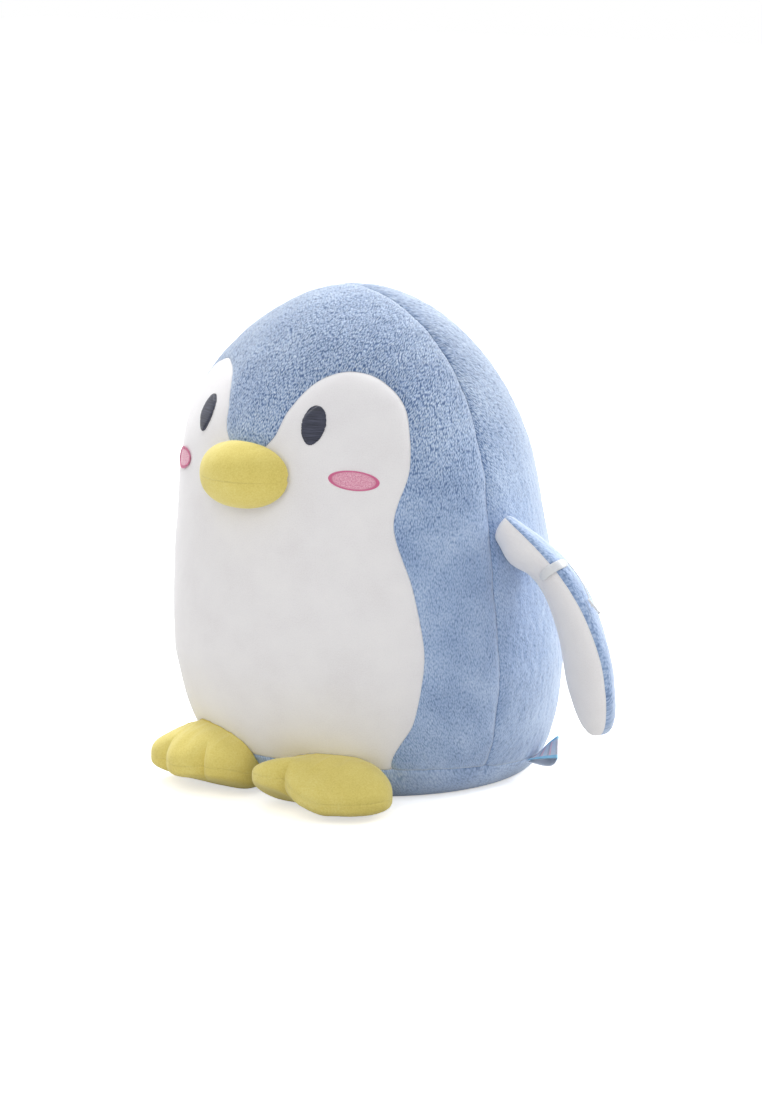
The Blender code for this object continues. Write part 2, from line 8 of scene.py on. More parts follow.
import bpy
import numpy as np
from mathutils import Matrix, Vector


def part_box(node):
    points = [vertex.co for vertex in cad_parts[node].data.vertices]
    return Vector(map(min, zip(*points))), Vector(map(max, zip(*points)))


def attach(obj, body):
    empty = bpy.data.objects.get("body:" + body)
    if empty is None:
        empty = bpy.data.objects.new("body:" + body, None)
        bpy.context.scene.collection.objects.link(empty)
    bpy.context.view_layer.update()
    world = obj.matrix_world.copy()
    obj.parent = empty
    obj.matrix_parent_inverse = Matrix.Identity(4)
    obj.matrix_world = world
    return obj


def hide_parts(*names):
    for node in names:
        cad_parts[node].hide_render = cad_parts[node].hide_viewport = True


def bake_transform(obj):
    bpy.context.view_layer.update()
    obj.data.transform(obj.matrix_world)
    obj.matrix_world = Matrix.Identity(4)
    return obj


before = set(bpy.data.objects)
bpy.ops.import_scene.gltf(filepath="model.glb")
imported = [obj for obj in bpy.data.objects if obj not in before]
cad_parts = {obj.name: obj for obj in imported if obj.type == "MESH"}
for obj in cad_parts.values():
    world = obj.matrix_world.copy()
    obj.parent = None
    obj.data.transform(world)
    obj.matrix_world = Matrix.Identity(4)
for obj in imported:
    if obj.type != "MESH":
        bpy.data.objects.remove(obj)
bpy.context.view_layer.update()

MM = 0.001

# The body, as in the frame
TORSO_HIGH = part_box("back_panel_left")[1]
HEIGHT = TORSO_HIGH[2]
BELLY_RADIUS = TORSO_HIGH[0]
BELLY_HEIGHT = 65 * MM
FLOOR_RADIUS = 0.70 * BELLY_RADIUS
CROWN_POWERS = (2.78, 1.855)
BASE_POWERS = (1.30, 2.69)
WAIST_DEPTH, WAIST_HEIGHT, WAIST_SPREAD = 3.3 * MM, 126 * MM, 40 * MM
CHEEK_FULLNESS, CHEEK_HEIGHT, CHEEK_SPREAD = 2.5 * MM, 192 * MM, 22 * MM
LEAN = 21 * MM
BASE_SEAM_HEIGHT, BASE_SEAM_SLOPE = 12.5 * MM, -0.085
SIDE_SEAM_Y, SIDE_SEAM_BOW = -21 * MM, 8 * MM
CHART_RADIUS = 90 * MM

# Light
AMBIENT = 0.67
FLOOR_GLOW = 0.60

# Fabric
CELL = 0.95 * MM
SEAM_ALLOWANCE = 3 * MM
COARSE_CELL = 5.5 * MM
CLOTH_FRAMES = 20
CLOTH_SETTINGS = {"quality": 5, "mass": 0.3, "tension_stiffness": 15, "compression_stiffness": 15,
                  "shear_stiffness": 5, "bending_stiffness": 0.5, "use_pressure": True,
                  "uniform_pressure_force": 4.0, "vertex_group_mass": "held"}
BLUE_PILE, FLIPPER_BLUE_PILE, WHITE_PILE = 0.28 * MM, 0.24 * MM, 0.05 * MM
MATERIALS = {}
SIDES = (("left", 1), ("right", -1))

# Features on the body
EYE = {"turn": 24.4, "height": 190.4 * MM, "half_width": 5.9 * MM, "half_height": 9.1 * MM, "tilt": 11.0}
BLUSH = {"turn": 37.5, "height": 165 * MM, "half_width": 12.4 * MM, "half_height": 4.8 * MM,
         "tilt": 5.0}
BEAK = {"centre": 165 * MM, "half_width": 26.8 * MM, "half_height": 16.2 * MM, "depth": 15.8 * MM,
        "rim": 2.2 * MM, "seam": 163.5 * MM, "outline_power": 2.2, "dome_powers": (2.1, 0.57)}

FLIPPER_ROOT = {"front": (77.0, 144.5 * MM), "back": (98.5, 131 * MM)}
FLIPPER_LENGTH = 114 * MM
FLIPPER_REST = {
    1: {"turn": 0.0, "stand_off": 6.8 * MM, "lift": (49.4, 20.5), "sweep": (9.3, -7.9), "twist": (19.4, 51.3),
        "bend_end": 0.70, "twist_end": 0.80},
    -1: {"turn": 11.0, "stand_off": 7.0 * MM, "lift": (45.0, 9.0), "sweep": (17.0, 17.0), "twist": (0.0, -8.0),
         "bend_end": 0.38, "twist_end": 0.45},
}
FLIPPER_ROOT_SIZE = (19 * MM, 3.5 * MM, 9.5 * MM)
FLIPPER_SIZE = (26 * MM, 10.5 * MM, 9 * MM)
FLIPPER_ROOT_PUFF, FLIPPER_ROOT_END, FLIPPER_BLEND_END = 4 * MM, 0.035, 0.28
FLIPPER_SWELL_END, FLIPPER_TIP_START, FLIPPER_TIP_POWER = 0.45, 0.60, 2.6
FLIPPER_PUSH_GRID, FLIPPER_PUSH_END = (26, 24), 0.985

FOOT_SEAM_Z = 10 * MM
FOOT_CROWN_POWERS = (2.6, 0.55)
TOE_HEIGHT_SHARE, TOE_REACH = 0.72, 30 * MM
SOLE_CLEARANCE = 0.6 * MM
TOE_CENTRES = ((-23.5 * MM, 16.5 * MM), (1 * MM, 21.5 * MM), (24.5 * MM, 15 * MM))
TOE_RADIUS = 12.5 * MM
FOOT_PUSH_GRID = (9, 36)
PAD_CENTRE, PAD_HALF_SIZE = (0.0, 4 * MM), (34 * MM, 20 * MM)
FEET = {"left": {"side": 1, "centre": (40 * MM, -88 * MM), "heading": 13.0,
                 "toe_rise": (10 * MM, 0.5 * MM), "notches": (0.75, 0.15), "inner_width": 1.0, "top": 17 * MM},
        "right": {"side": -1, "centre": (31.5 * MM, -85 * MM), "heading": 6.0,
                  "toe_rise": (6.5 * MM, 4.5 * MM), "notches": (0.6, 0.6), "inner_width": 0.84,
                  "top": 22.5 * MM}}

LABEL = {"turn": 102.5, "length": 14 * MM, "half_width": 7.5 * MM, "tilt": 28.0, "stand_off": 1.6 * MM,
         "roll": 36.0, "sag": 3.6 * MM}


# Numbers

def mix(a, b, t):
    return a + (b - a) * t


def clamp(value):
    return np.clip(value, 0, 1)


def stacked(*parts):
    return np.stack(parts, axis=-1)


def paired(turn, z):
    return np.broadcast_arrays(np.asarray(turn, float), np.asarray(z, float))


def smoothstep(value):
    t = np.clip(value, 0.0, 1.0)
    return t * t * (3 - 2 * t)


def lattice(x, y, z, seed):
    """A repeatable number from 0 to 1 for each whole-number place."""
    mask = 0xFFFFFFFF
    mixed = (x * 374761393 + y * 668265263 + z * 144665 + seed * 1274126177) & mask
    mixed = ((mixed ^ (mixed >> 13)) * 1274126177) & mask
    return (mixed ^ (mixed >> 16)) / mask


def noise(points, size, seed):
    """Smooth noise from -1 to 1 whose lumps have the given size (one number, or one for each axis)."""
    places = np.asarray(points) / np.asarray(size)
    cells = np.floor(places).astype(np.int64)
    part = smoothstep(places - cells)
    total = 0.0
    for dx in (0, 1):
        for dy in (0, 1):
            for dz in (0, 1):
                weight = (mix(1 - part[..., 0], part[..., 0], dx) * mix(1 - part[..., 1], part[..., 1], dy)
                          * mix(1 - part[..., 2], part[..., 2], dz))
                total = total + weight * lattice(cells[..., 0] + dx, cells[..., 1] + dy,
                                                 cells[..., 2] + dz, seed)
    return 2 * total - 1


def sample(grid, row, column, wrap):
    """Catmull-Rom interpolation in a grid of numbers, at fractional rows and columns."""
    def weights(f):
        return (0.5 * (-f + 2 * f ** 2 - f ** 3), 0.5 * (2 - 5 * f ** 2 + 3 * f ** 3),
                0.5 * (f + 4 * f ** 2 - 3 * f ** 3), 0.5 * (f ** 3 - f ** 2))
    rows, columns = grid.shape[:2]
    row_0, column_0 = np.floor(row).astype(int), np.floor(column).astype(int)
    row_weights, column_weights = weights(row - row_0), weights(column - column_0)
    total = 0.0
    for a in range(4):
        r = np.clip(row_0 + a - 1, 0, rows - 1)
        for b in range(4):
            c = column_0 + b - 1
            c = c % columns if wrap else np.clip(c, 0, columns - 1)
            weight = row_weights[a] * column_weights[b]
            values = grid[r, c]
            total = total + (weight[..., None] if values.ndim > weight.ndim else weight) * values
    return total


def unit(vectors):
    return vectors / np.maximum(np.linalg.norm(vectors, axis=-1, keepdims=True), 1e-12)


def catmull_rom(points, steps):
    """A closed smooth curve through 2-D points."""
    p = np.array(points)
    before, after, far = np.roll(p, 1, 0), np.roll(p, -1, 0), np.roll(p, -2, 0)
    t = (np.arange(steps) / steps)[None, :, None]
    p, before, after, far = p[:, None], before[:, None], after[:, None], far[:, None]
    curve = 0.5 * (2 * p + (after - before) * t + (2 * before - 5 * p + 4 * after - far) * t ** 2
                   + (3 * p - before - 3 * after + far) * t ** 3)
    return curve.reshape(-1, 2)


# Meshes

def grid_faces(rows, columns, wrap=False, flip=False):
    """Quads between the points of a grid; columns run to the left of rising rows seen from outside."""
    last = columns if wrap else columns - 1
    row, column = np.meshgrid(np.arange(rows - 1), np.arange(last), indexing="ij")
    here, right = row * columns + column, row * columns + (column + 1) % columns
    quads = stacked(here, right, right + columns, here + columns).reshape(-1, 4)
    return quads[:, ::-1] if flip else quads


def vertex_normals(points, faces):
    normals = np.zeros_like(points)
    corners = points[faces]
    across = np.cross(corners[:, 2] - corners[:, 0], corners[:, 3] - corners[:, 1])
    for k in range(4):
        np.add.at(normals, faces[:, k], across)
    return unit(normals)


def border_edges(faces):
    """The directed edges that only one face uses."""
    edges = np.concatenate([faces[:, [k, (k + 1) % 4]] for k in range(4)])
    edges = edges[edges[:, 0] != edges[:, 1]]
    count = int(faces.max()) + 1
    keys = edges.min(1) * count + edges.max(1)
    _, first, uses = np.unique(keys, return_index=True, return_counts=True)
    return edges[first[uses == 1]]


def with_turned_in_edge(points, faces, extras, depth=SEAM_ALLOWANCE):
    """Adds the seam allowance: a strip of fabric that turns inwards along the panel's whole edge."""
    normals = vertex_normals(points, faces)
    edges = border_edges(faces)
    ring = np.unique(edges)
    fresh = np.full(len(points), -1)
    fresh[ring] = len(points) + np.arange(len(ring))
    strip = stacked(edges[:, 1], edges[:, 0], fresh[edges[:, 0]], fresh[edges[:, 1]])
    points = np.concatenate([points, points[ring] - normals[ring] * depth])
    return points, np.concatenate([faces, strip]), np.concatenate([extras, extras[ring]])


def new_mesh(name, points, faces, material, nap=None):
    """A smooth-shaded object; nap is the fabric's own coordinate at each point, in metres."""
    mesh = bpy.data.meshes.new(name)
    mesh.from_pydata(points.tolist(), [], [list(dict.fromkeys(f)) for f in np.asarray(faces).tolist()])
    if nap is not None:
        mesh.attributes.new("nap", "FLOAT_VECTOR", "POINT").data.foreach_set("vector", nap.ravel())
    mesh.validate()
    mesh.shade_smooth()
    mesh.materials.append(material)
    made = bpy.data.objects.new(name, mesh)
    bpy.context.scene.collection.objects.link(made)
    return made


def make_piece(name, body, slot, cad_node, points, faces, nap=None):
    """A piece in its slot's material, riding on a body (None leaves it unattached, as for fabric that spans two
    bodies).
    """
    piece = new_mesh(name, points, faces, MATERIALS[slot], points if nap is None else nap)
    if body:
        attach(piece, body)
    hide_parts(cad_node)
    return piece


def sew(name, body, slot, cad_node, points, faces, nap=None, allowance=SEAM_ALLOWANCE):
    """A piece of fabric with its seam allowance."""
    nap = points if nap is None else nap
    made = with_turned_in_edge(points.reshape(-1, 3), faces, nap.reshape(-1, 3), allowance)
    return make_piece(name, body, slot, cad_node, *made)


def fan(ring, tip):
    """Triangles, written as quads, from a closed ring of points to one point."""
    tips = np.full(len(ring), tip)
    return stacked(ring, tips, tips, np.roll(ring, -1))


def circle(count):
    return tau * np.arange(count) / count


def turns_around(count):
    """Evenly spaced turns around the body, from -180 to 180 degrees."""
    turn = circle(count)
    return np.where(turn > pi, turn - tau, turn)


def capped_rings(rings, caps=None):
    """A closed tube: rings of points, and a point that closes each end, by default the ring's middle."""
    rows, columns = rings.shape[:2]
    if caps is None:
        caps = (rings[0].mean(0), rings[-1].mean(0))
    points = np.concatenate([rings.reshape(-1, 3), np.array(caps)])
    ring, count = np.arange(columns), rows * columns
    bottom, top = fan(ring, count), fan(ring + count - columns, count + 1)[:, ::-1]
    return points, np.concatenate([grid_faces(rows, columns, wrap=True), bottom, top])


def tube(path, radius, sides=8):
    """A round thread along a path, as capped rings."""
    along = unit(np.gradient(path, axis=0))
    guide = np.array([0.0, 1.0, 0.0]) if abs(along[0][1]) < 0.9 else np.array([1.0, 0.0, 0.0])
    side = unit(np.cross(along, guide))
    up = np.cross(side, along)
    angle = circle(sides)[None, :, None]
    rings = path[:, None] + radius * (np.cos(angle) * side[:, None] - np.sin(angle) * up[:, None])
    return capped_rings(rings, (path[0], path[-1]))


def joined(*parts):
    """Several (points, faces) as one."""
    starts = np.cumsum([0] + [len(points) for points, _ in parts])
    return (np.concatenate([points for points, _ in parts]),
            np.concatenate([faces + start for (_, faces), start in zip(parts, starts)]))


# Cloth

def stuffing_push(grid, held, limit, reverse=False):
    """How far stuffing pushes each point of a closed fabric grid out, with the held points kept in place.

    The answer is a displacement for each point, no longer than the limit; reverse is for a grid whose
    columns run the other way round.
    """
    if reverse:
        return stuffing_push(grid[:, ::-1], held[:, ::-1], limit)[:, ::-1]
    scene = bpy.context.scene
    mesh = bpy.data.meshes.new("stuffed_fabric")
    mesh.from_pydata(grid.reshape(-1, 3).tolist(), [], grid_faces(*grid.shape[:2], wrap=True).tolist())
    cloth_piece = bpy.data.objects.new("stuffed_fabric", mesh)
    scene.collection.objects.link(cloth_piece)
    group = cloth_piece.vertex_groups.new(name="held")
    for index, weight in enumerate(held.ravel()):
        group.add([index], float(weight), "REPLACE")
    cloth = cloth_piece.modifiers.new("Cloth", "CLOTH")
    for key, value in CLOTH_SETTINGS.items():
        setattr(cloth.settings, key, value)
    cloth.settings.effector_weights.gravity = 0
    cloth.point_cache.frame_start, cloth.point_cache.frame_end = 1, CLOTH_FRAMES
    for number in range(1, CLOTH_FRAMES + 1):
        scene.frame_set(number)
    result = cloth_piece.evaluated_get(bpy.context.evaluated_depsgraph_get())
    moved = np.empty(grid.size, dtype=np.float32)
    result.data.vertices.foreach_get("co", moved)
    scene.frame_set(1)
    bpy.data.objects.remove(cloth_piece, do_unlink=True)
    bpy.data.meshes.remove(mesh)
    push = moved.reshape(grid.shape) - grid
    length = np.maximum(np.linalg.norm(push, axis=-1, keepdims=True), 1e-9)
    return push / length * limit * np.tanh(length / limit)


# Body surface

def lean(z):
    """How far the body's centre line has moved forward at a height."""
    return -LEAN * np.sin(pi / 2 * clamp(z / HEIGHT))


def body_radius(turn, z):
    """The body's radius: a flat-bottomed egg with a slight waist and full cheeks."""
    rise = clamp((z - BELLY_HEIGHT) / (HEIGHT - BELLY_HEIGHT))
    drop = clamp((BELLY_HEIGHT - z) / BELLY_HEIGHT)
    upper = BELLY_RADIUS * (1 - rise ** CROWN_POWERS[0]) ** (1 / CROWN_POWERS[1])
    lower = mix(FLOOR_RADIUS, BELLY_RADIUS, (1 - drop ** BASE_POWERS[0]) ** (1 / BASE_POWERS[1]))
    radius = np.where(z >= BELLY_HEIGHT, upper, lower)
    waist = np.exp(-((z - WAIST_HEIGHT) / WAIST_SPREAD) ** 2)
    radius = radius - clamp(6 * (1 - z / HEIGHT)) * WAIST_DEPTH * waist
    cheek = np.exp(-((z - CHEEK_HEIGHT) / CHEEK_SPREAD) ** 2)
    return radius + CHEEK_FULLNESS * cheek * smoothstep(np.cos(turn) / 0.6)


def on_body(turn, z):
    turn, z = paired(turn, z)
    radius = body_radius(turn, z)
    return stacked(radius * np.sin(turn), lean(z) - radius * np.cos(turn), z)


def body_normal(turn, z):
    turn, z = paired(turn, z)
    step = 1e-4
    edge = 1e-5
    low, high = np.clip(z - step, edge, HEIGHT - 3 * edge), np.clip(z + step, 3 * edge, HEIGHT - edge)
    inside = np.clip(z, edge, HEIGHT - edge)
    along = on_body(turn + 1e-3, inside) - on_body(turn - 1e-3, inside)
    return unit(np.cross(along, on_body(turn, high) - on_body(turn, low)))


def side_seam_turn(z):
    """The turn at which the side seam crosses a height: the seam bows forward at mid height."""
    seam_y = SIDE_SEAM_Y - SIDE_SEAM_BOW * np.sin(pi * z / HEIGHT)
    turn = np.full_like(z, pi / 2)
    for _ in range(5):
        reach = np.maximum(body_radius(turn, z), 1e-5)
        turn = np.arccos(np.clip((lean(z) - seam_y) / reach, -0.9, 0.9))
    return turn


def base_seam_z(turn):
    """The height of the base seam, which rises towards the front."""
    z = np.full_like(turn, BASE_SEAM_HEIGHT)
    for _ in range(8):
        z = BASE_SEAM_HEIGHT + BASE_SEAM_SLOPE * on_body(turn, z)[..., 1]
    return z


def body_profile():
    """Heights, and the distance along the body's side up to each of them."""
    z = HEIGHT * (1 - np.cos(np.linspace(0, pi, 600))) / 2
    r = body_radius(np.full_like(z, pi / 2), z)
    return z, np.concatenate([[0], np.cumsum(np.hypot(np.diff(r), np.diff(z)))])


PROFILE_Z, PROFILE_RUN = body_profile()


def run_to(z):
    return np.interp(z, PROFILE_Z, PROFILE_RUN)


def height_at(run):
    return np.interp(run, PROFILE_RUN, PROFILE_Z)


def turn_at_x(x, z):
    """The turn of a point of the body's front, given in front view."""
    turn = np.zeros_like(x)
    for _ in range(20):
        turn = np.arcsin(np.clip(x / body_radius(turn, z), -0.99, 0.99))
    return turn


def chart(turn, z):
    """A flat map of the body's front: distance across and distance up."""
    return stacked(turn * CHART_RADIUS, run_to(z))


def face_outline():
    """Map of the white panel's edge: straight sides, a waist, two lobes and the peak between them."""
    half = np.array([(59.0, -10.0), (62.0, 20.0), (75.0, 44.0), (81.0, 75.0), (77.2, 110.0), (69.8, 142.0),
                     (72.8, 170.0), (67.6, 194.0), (55.2, 209.0), (40.5, 215.0), (27.5, 210.5),
                     (19.2, 197.0), (14.5, 183.0)]) * MM
    peak = np.array([(0.0, 172.0)]) * MM
    curve = catmull_rom(np.concatenate([half, peak, half[::-1] * (-1, 1)]), 10)
    z = np.maximum(curve[:, 1], 0.5 * MM)
    return chart(turn_at_x(curve[:, 0], z), z)


OUTLINE = face_outline()
OUTLINE_SIDES = list(zip(OUTLINE, np.roll(OUTLINE, -1, axis=0)))


def nearest_on_outline(places):
    """For map places: the nearest place on the face's outline, and the distance to it."""
    best = np.full(places.shape[:-1], np.inf)
    nearest = np.zeros_like(places)
    for start, end in OUTLINE_SIDES:
        side = end - start
        share = clamp(((places - start) @ side) / max(side @ side, 1e-18))
        spot = start + share[..., None] * side
        gap = np.linalg.norm(places - spot, axis=-1)
        closer = gap < best
        best = np.where(closer, gap, best)
        nearest = np.where(closer[..., None], spot, nearest)
    return nearest, best


def inside_outline(places):
    """Even-odd test of map places against the face's outline."""
    inside = np.zeros(places.shape[:-1], dtype=bool)
    for (x1, y1), (x2, y2) in OUTLINE_SIDES:
        if y1 == y2:
            continue
        crosses = (places[..., 1] > min(y1, y2)) & (places[..., 1] <= max(y1, y2))
        at = x1 + (places[..., 1] - y1) * (x2 - x1) / (y2 - y1)
        inside ^= crosses & (places[..., 0] < at)
    return inside


def seam_distances(turn, z):
    """Distances from a place on the body to the side, back, base and face seams."""
    radius = body_radius(turn, z)
    side = np.abs(np.abs(turn) - side_seam_turn(z)) * radius
    back = (pi - np.abs(turn)) * radius
    base = np.abs(run_to(z) - run_to(base_seam_z(turn)))
    return side, back, base, nearest_on_outline(chart(turn, z))[1]


def body_cloth():
    """The body's fabric under its stuffing: how far it stands out, on a coarse grid of turn and run."""
    turn = turns_around(int(tau * BELLY_RADIUS / COARSE_CELL))
    top = PROFILE_RUN[-1] - COARSE_CELL
    rows = int(top / COARSE_CELL)
    z = height_at(mix(run_to(base_seam_z(turn))[None], top, np.linspace(0, 1, rows)[:, None]))
    turn = np.broadcast_to(turn, z.shape)
    grid = on_body(turn, z)
    closest = np.minimum.reduce(seam_distances(turn, z))
    held = np.exp(-(closest / (0.8 * COARSE_CELL)) ** 2)
    held[-1] = 1.0
    outwards = (stuffing_push(grid, held, 4 * MM) * body_normal(turn, z)).sum(-1)
    return outwards - np.percentile(outwards, 60) * (1 - held)


BODY_CLOTH = body_cloth()


def cloth_relief(turn, z):
    rows, columns = BODY_CLOTH.shape
    low = run_to(base_seam_z(turn))
    top = PROFILE_RUN[-1] - COARSE_CELL
    row = clamp((run_to(z) - low) / (top - low)) * (rows - 1)
    column = (turn % tau) / tau * columns
    return sample(BODY_CLOTH, row, column, wrap=True)


def relief(turn, z):
    """How far the stuffed fabric stands out of the plain body: cloth, lumps, seam grooves and puckers."""
    turn, z = paired(turn, z)
    points = on_body(turn, z)
    out = cloth_relief(turn, z)
    out = out + 0.8 * MM * noise(points, 42 * MM, 3) + 0.3 * MM * noise(points, 17 * MM, 4)
    side, back, base, face = seam_distances(turn, z)
    for distance, depth, width, pucker, wave in (
            (side, 1.5, 2.6, 0.55, (30, 30, 9)), (back, 1.4, 2.6, 0.50, (30, 30, 9)),
            (base, 0.35, 2.2, 0.20, (14, 14, 30)), (face, 1.1, 2.0, 0.35, (9, 30, 9))):
        out = out - depth * MM * np.exp(-distance / (width * MM))
        out = out + pucker * MM * np.exp(-distance / (11 * MM)) * noise(points, np.array(wave) * MM, 5)
    ridge = np.exp(-(points[..., 0] / (7 * MM)) ** 2) * smoothstep((z - 165 * MM) / (15 * MM))
    ridge = ridge * smoothstep((228 * MM - z) / (30 * MM)) * (np.cos(turn) > 0)
    return out + 0.9 * MM * ridge


def nap_of(turn, z, behind):
    """The fabric's own coordinate: distance across from the front or back line, and distance up."""
    across = turn - np.sign(turn) * pi if behind else turn
    return stacked(across * body_radius(turn, z), run_to(z), np.zeros_like(z))


def pile(nap, height):
    """Tufts of the pile, long in the nap's direction."""
    streaks = 1 - 2 * np.abs(noise(nap, np.array([2.1, 4.6, 1000]) * MM, 11))
    tufts = noise(nap, np.array([1.9, 3.1, 1000]) * MM, 12)
    return height * (0.6 * streaks + 0.6 * tufts)


def on_skin(turn, z, out=0.0):
    """A place on the finished fabric, or a distance above it."""
    return on_body(turn, z) + body_normal(turn, z) * (relief(turn, z) + out)[..., None]


# Body panels

def panel_grid(columns, turn_of):
    """Turn and height of a grid from the base seam to the crown; turn_of gives its columns' turns."""
    rows = int((PROFILE_RUN[-1] - run_to(BASE_SEAM_HEIGHT)) / CELL)
    z = np.full(columns, BASE_SEAM_HEIGHT)
    for _ in range(6):
        z = base_seam_z(turn_of(z))
    z = height_at(mix(run_to(z)[None], PROFILE_RUN[-1] - 0.3 * MM, np.linspace(0, 1, rows)[:, None]))
    return turn_of(z), z


def cut_panel(turn, z, faces, keep):
    """Keeps the faces that touch the wanted side, with their other corners moved onto the outline."""
    wanted = keep[faces]
    faces = faces[wanted.any(1)]
    moved = np.unique(faces[~keep[faces]])
    places, _ = nearest_on_outline(chart(turn[moved], z[moved]))
    turn, z = turn.copy(), z.copy()
    turn[moved] = places[:, 0] / CHART_RADIUS
    z[moved] = height_at(places[:, 1])
    used, faces = np.unique(faces, return_inverse=True)
    return turn[used], z[used], faces.reshape(-1, 4)


def panel(name, turn, z, faces, slot, pile_height, cad_node):
    nap = nap_of(turn, z, behind=name.startswith("back"))
    sew(name, "torso", slot, cad_node, on_skin(turn, z, pile(nap, pile_height)), faces, nap)

def make_front():
    columns = int(1.04 * pi * BELLY_RADIUS / CELL)
    across = np.linspace(-1, 1, columns)
    turn, z = panel_grid(columns, lambda heights: across * side_seam_turn(heights))
    faces = grid_faces(*turn.shape)
    turn, z = turn.ravel(), z.ravel()
    near_face = np.abs(turn) < np.radians(80)
    inside = np.zeros(len(turn), dtype=bool)
    inside[near_face] = inside_outline(chart(turn[near_face], z[near_face]))
    panel("hood_fabric", *cut_panel(turn, z, faces, ~inside), "blue_plush", BLUE_PILE, "front_hood")
    panel("face_fabric", *cut_panel(turn, z, faces, inside), "white_plush", WHITE_PILE, "face_belly_panel")


def make_backs():
    columns = int(0.50 * pi * BELLY_RADIUS / CELL)
    across = np.linspace(0, 1, columns)
    turn, z = panel_grid(columns, lambda heights: mix(side_seam_turn(heights), pi, across))
    for word, side in SIDES:
        faces = grid_faces(*turn.shape, flip=side < 0)
        panel("back_fabric_" + word, (side * turn).ravel(), z.ravel(), faces, "blue_plush", BLUE_PILE,
              "back_panel_" + word)


def make_base():
    """The round panel under the body: it rolls under from the base seam and lies flat on the floor."""
    columns, side_rows, floor_rows = int(tau * BELLY_RADIUS / (1.5 * CELL)), 16, 40
    turn = turns_around(columns)
    fall = np.linspace(1, 0, side_rows)[:, None] ** 1.5
    z = base_seam_z(turn) * fall
    turn = np.broadcast_to(turn, z.shape)
    wall = on_body(turn, z) + body_normal(turn, z) * (relief(turn, z) * fall)[..., None]
    middle = np.array([0.0, lean(0.0), 0.0])
    floor = mix(wall[-1], middle, (np.linspace(0, 1, floor_rows + 1)[1:-1])[:, None, None])
    floor[..., 2] = 0.0
    rings = np.concatenate([wall, floor])
    rings[..., 2] = np.maximum(rings[..., 2], 0.0)
    points = np.concatenate([rings.reshape(-1, 3), middle[None]])
    tip = len(points) - 1
    faces = np.concatenate([grid_faces(len(rings), columns, wrap=True, flip=True),
                            fan(tip - columns + np.arange(columns), tip)])
    sew("base_fabric", "torso", "blue_plush", "base_panel", points, faces, points * (1, 1, 0))


# Embroidery

def stitched_oval(word, kind, slot, turn, z, height_of, border=0.0, wrap=False):
    """A raised embroidered shape on the skin, from grids of turn and height and the thread's own height."""
    nap = stacked(turn * CHART_RADIUS, z, np.broadcast_to(border, z.shape))
    sew("%s_stitching_%s" % (kind, word), "torso", slot, "%s_%s" % (kind, word),
        on_skin(turn, z, height_of), grid_faces(*turn.shape, wrap=wrap), nap, 0.9 * MM)


def mark_centre(mark, side):
    """The turn of an embroidered mark's middle, and the turn that one metre across it makes."""
    turn = side * radians(mark["turn"])
    return turn, 1 / float(body_radius(np.array(turn), np.array(mark["height"])))


def make_eyes():
    """Satin stitch: threads lie side by side across the eye, over a soft pad."""
    thread, per_thread, columns = 0.55 * MM, 6, 26
    threads = int(2 * EYE["half_height"] / thread)
    rows = threads * per_thread
    up = np.linspace(-0.998, 0.998, rows)
    narrow_foot = 1 + 0.12 * up - 0.12 * clamp(-up) ** 3
    tilt = radians(EYE["tilt"])
    half = np.sqrt(1 - up ** 2) * narrow_foot * EYE["half_width"]
    index = np.floor(np.linspace(0, threads - 1e-6, rows)).astype(int)
    across = np.sin(pi / 2 * np.linspace(-1, 1, columns))
    pad = 0.6 * MM * clamp(1 - (across[None] ** 2 + up[:, None] ** 2) ** 3) ** 0.5
    phase = (np.linspace(0, threads, rows) % 1.0)[:, None]
    ridge = 0.16 * MM * np.sqrt(clamp(1 - (2 * phase - 1) ** 2))
    for word, side in SIDES:
        ends = 1 + 0.035 * (2 * lattice(index, index * 0, index * 0, 31 + side) - 1)
        centre_turn, scale = mark_centre(EYE, side)
        aside, above = across * (half * ends)[:, None], (up * EYE["half_height"])[:, None]
        turn = centre_turn + (aside * cos(tilt) + side * above * sin(tilt)) * scale
        z = EYE["height"] + above * cos(tilt) - side * aside * sin(tilt)
        stitched_oval(word, "eye", "navy_thread", turn, z, 0.25 * MM + pad + ridge)


def make_blushes():
    """A seeded fill inside a dense satin border, both in pink thread."""
    around, rings = 280, 30
    lowered = tan(radians(BLUSH["tilt"]))
    grow = np.linspace(0.004, 1, rings)[::-1][:, None]
    for word, side in SIDES:
        angle = circle(around) * side
        centre_turn, scale = mark_centre(BLUSH, side)
        aside = grow * BLUSH["half_width"] * np.cos(angle)
        turn = centre_turn + aside * scale
        z = BLUSH["height"] + grow * BLUSH["half_height"] * np.sin(angle) - side * aside * lowered
        local = stacked(turn * CHART_RADIUS, z, np.zeros_like(z))
        border_place = (grow - 0.90) / 0.10
        border = np.sqrt(clamp(1 - border_place ** 2)) * (0.34 + 0.10 * np.cos(70 * angle))
        fill = 0.24 + 0.12 * noise(local, np.array([1.1, 0.5, 1]) * MM, 21)
        height = np.maximum(border, fill * (grow < 0.86)) * MM + 0.10 * MM
        stitched_oval(word, "blush", "pink_thread", turn, z, height,
                      border=smoothstep((grow - 0.82) / 0.06), wrap=True)


def make_closing_stitch():
    """The hand-sewn ladder that closed the back seam once the body was stuffed."""
    low_z, stitches, pitch, reach, radius = 70 * MM, 9, 5 * MM, 1.6 * MM, 0.4 * MM
    places = np.arange(stitches)
    t = np.linspace(0, stitches - 1, 12 * stitches)
    turn = np.interp(t, places, pi + reach * np.where(places % 2, 1, -1) / BELLY_RADIUS)
    z = np.interp(t, places, low_z + pitch * places)
    wrapped = np.where(turn > pi, turn - tau, turn)
    lift = 0.7 * MM * np.sin(pi * (t % 1.0)) + 0.5 * MM
    make_piece("closing_thread", "torso", "blue_thread", "closing_stitch",
               *tube(on_skin(wrapped, z, lift), radius))


# Beak

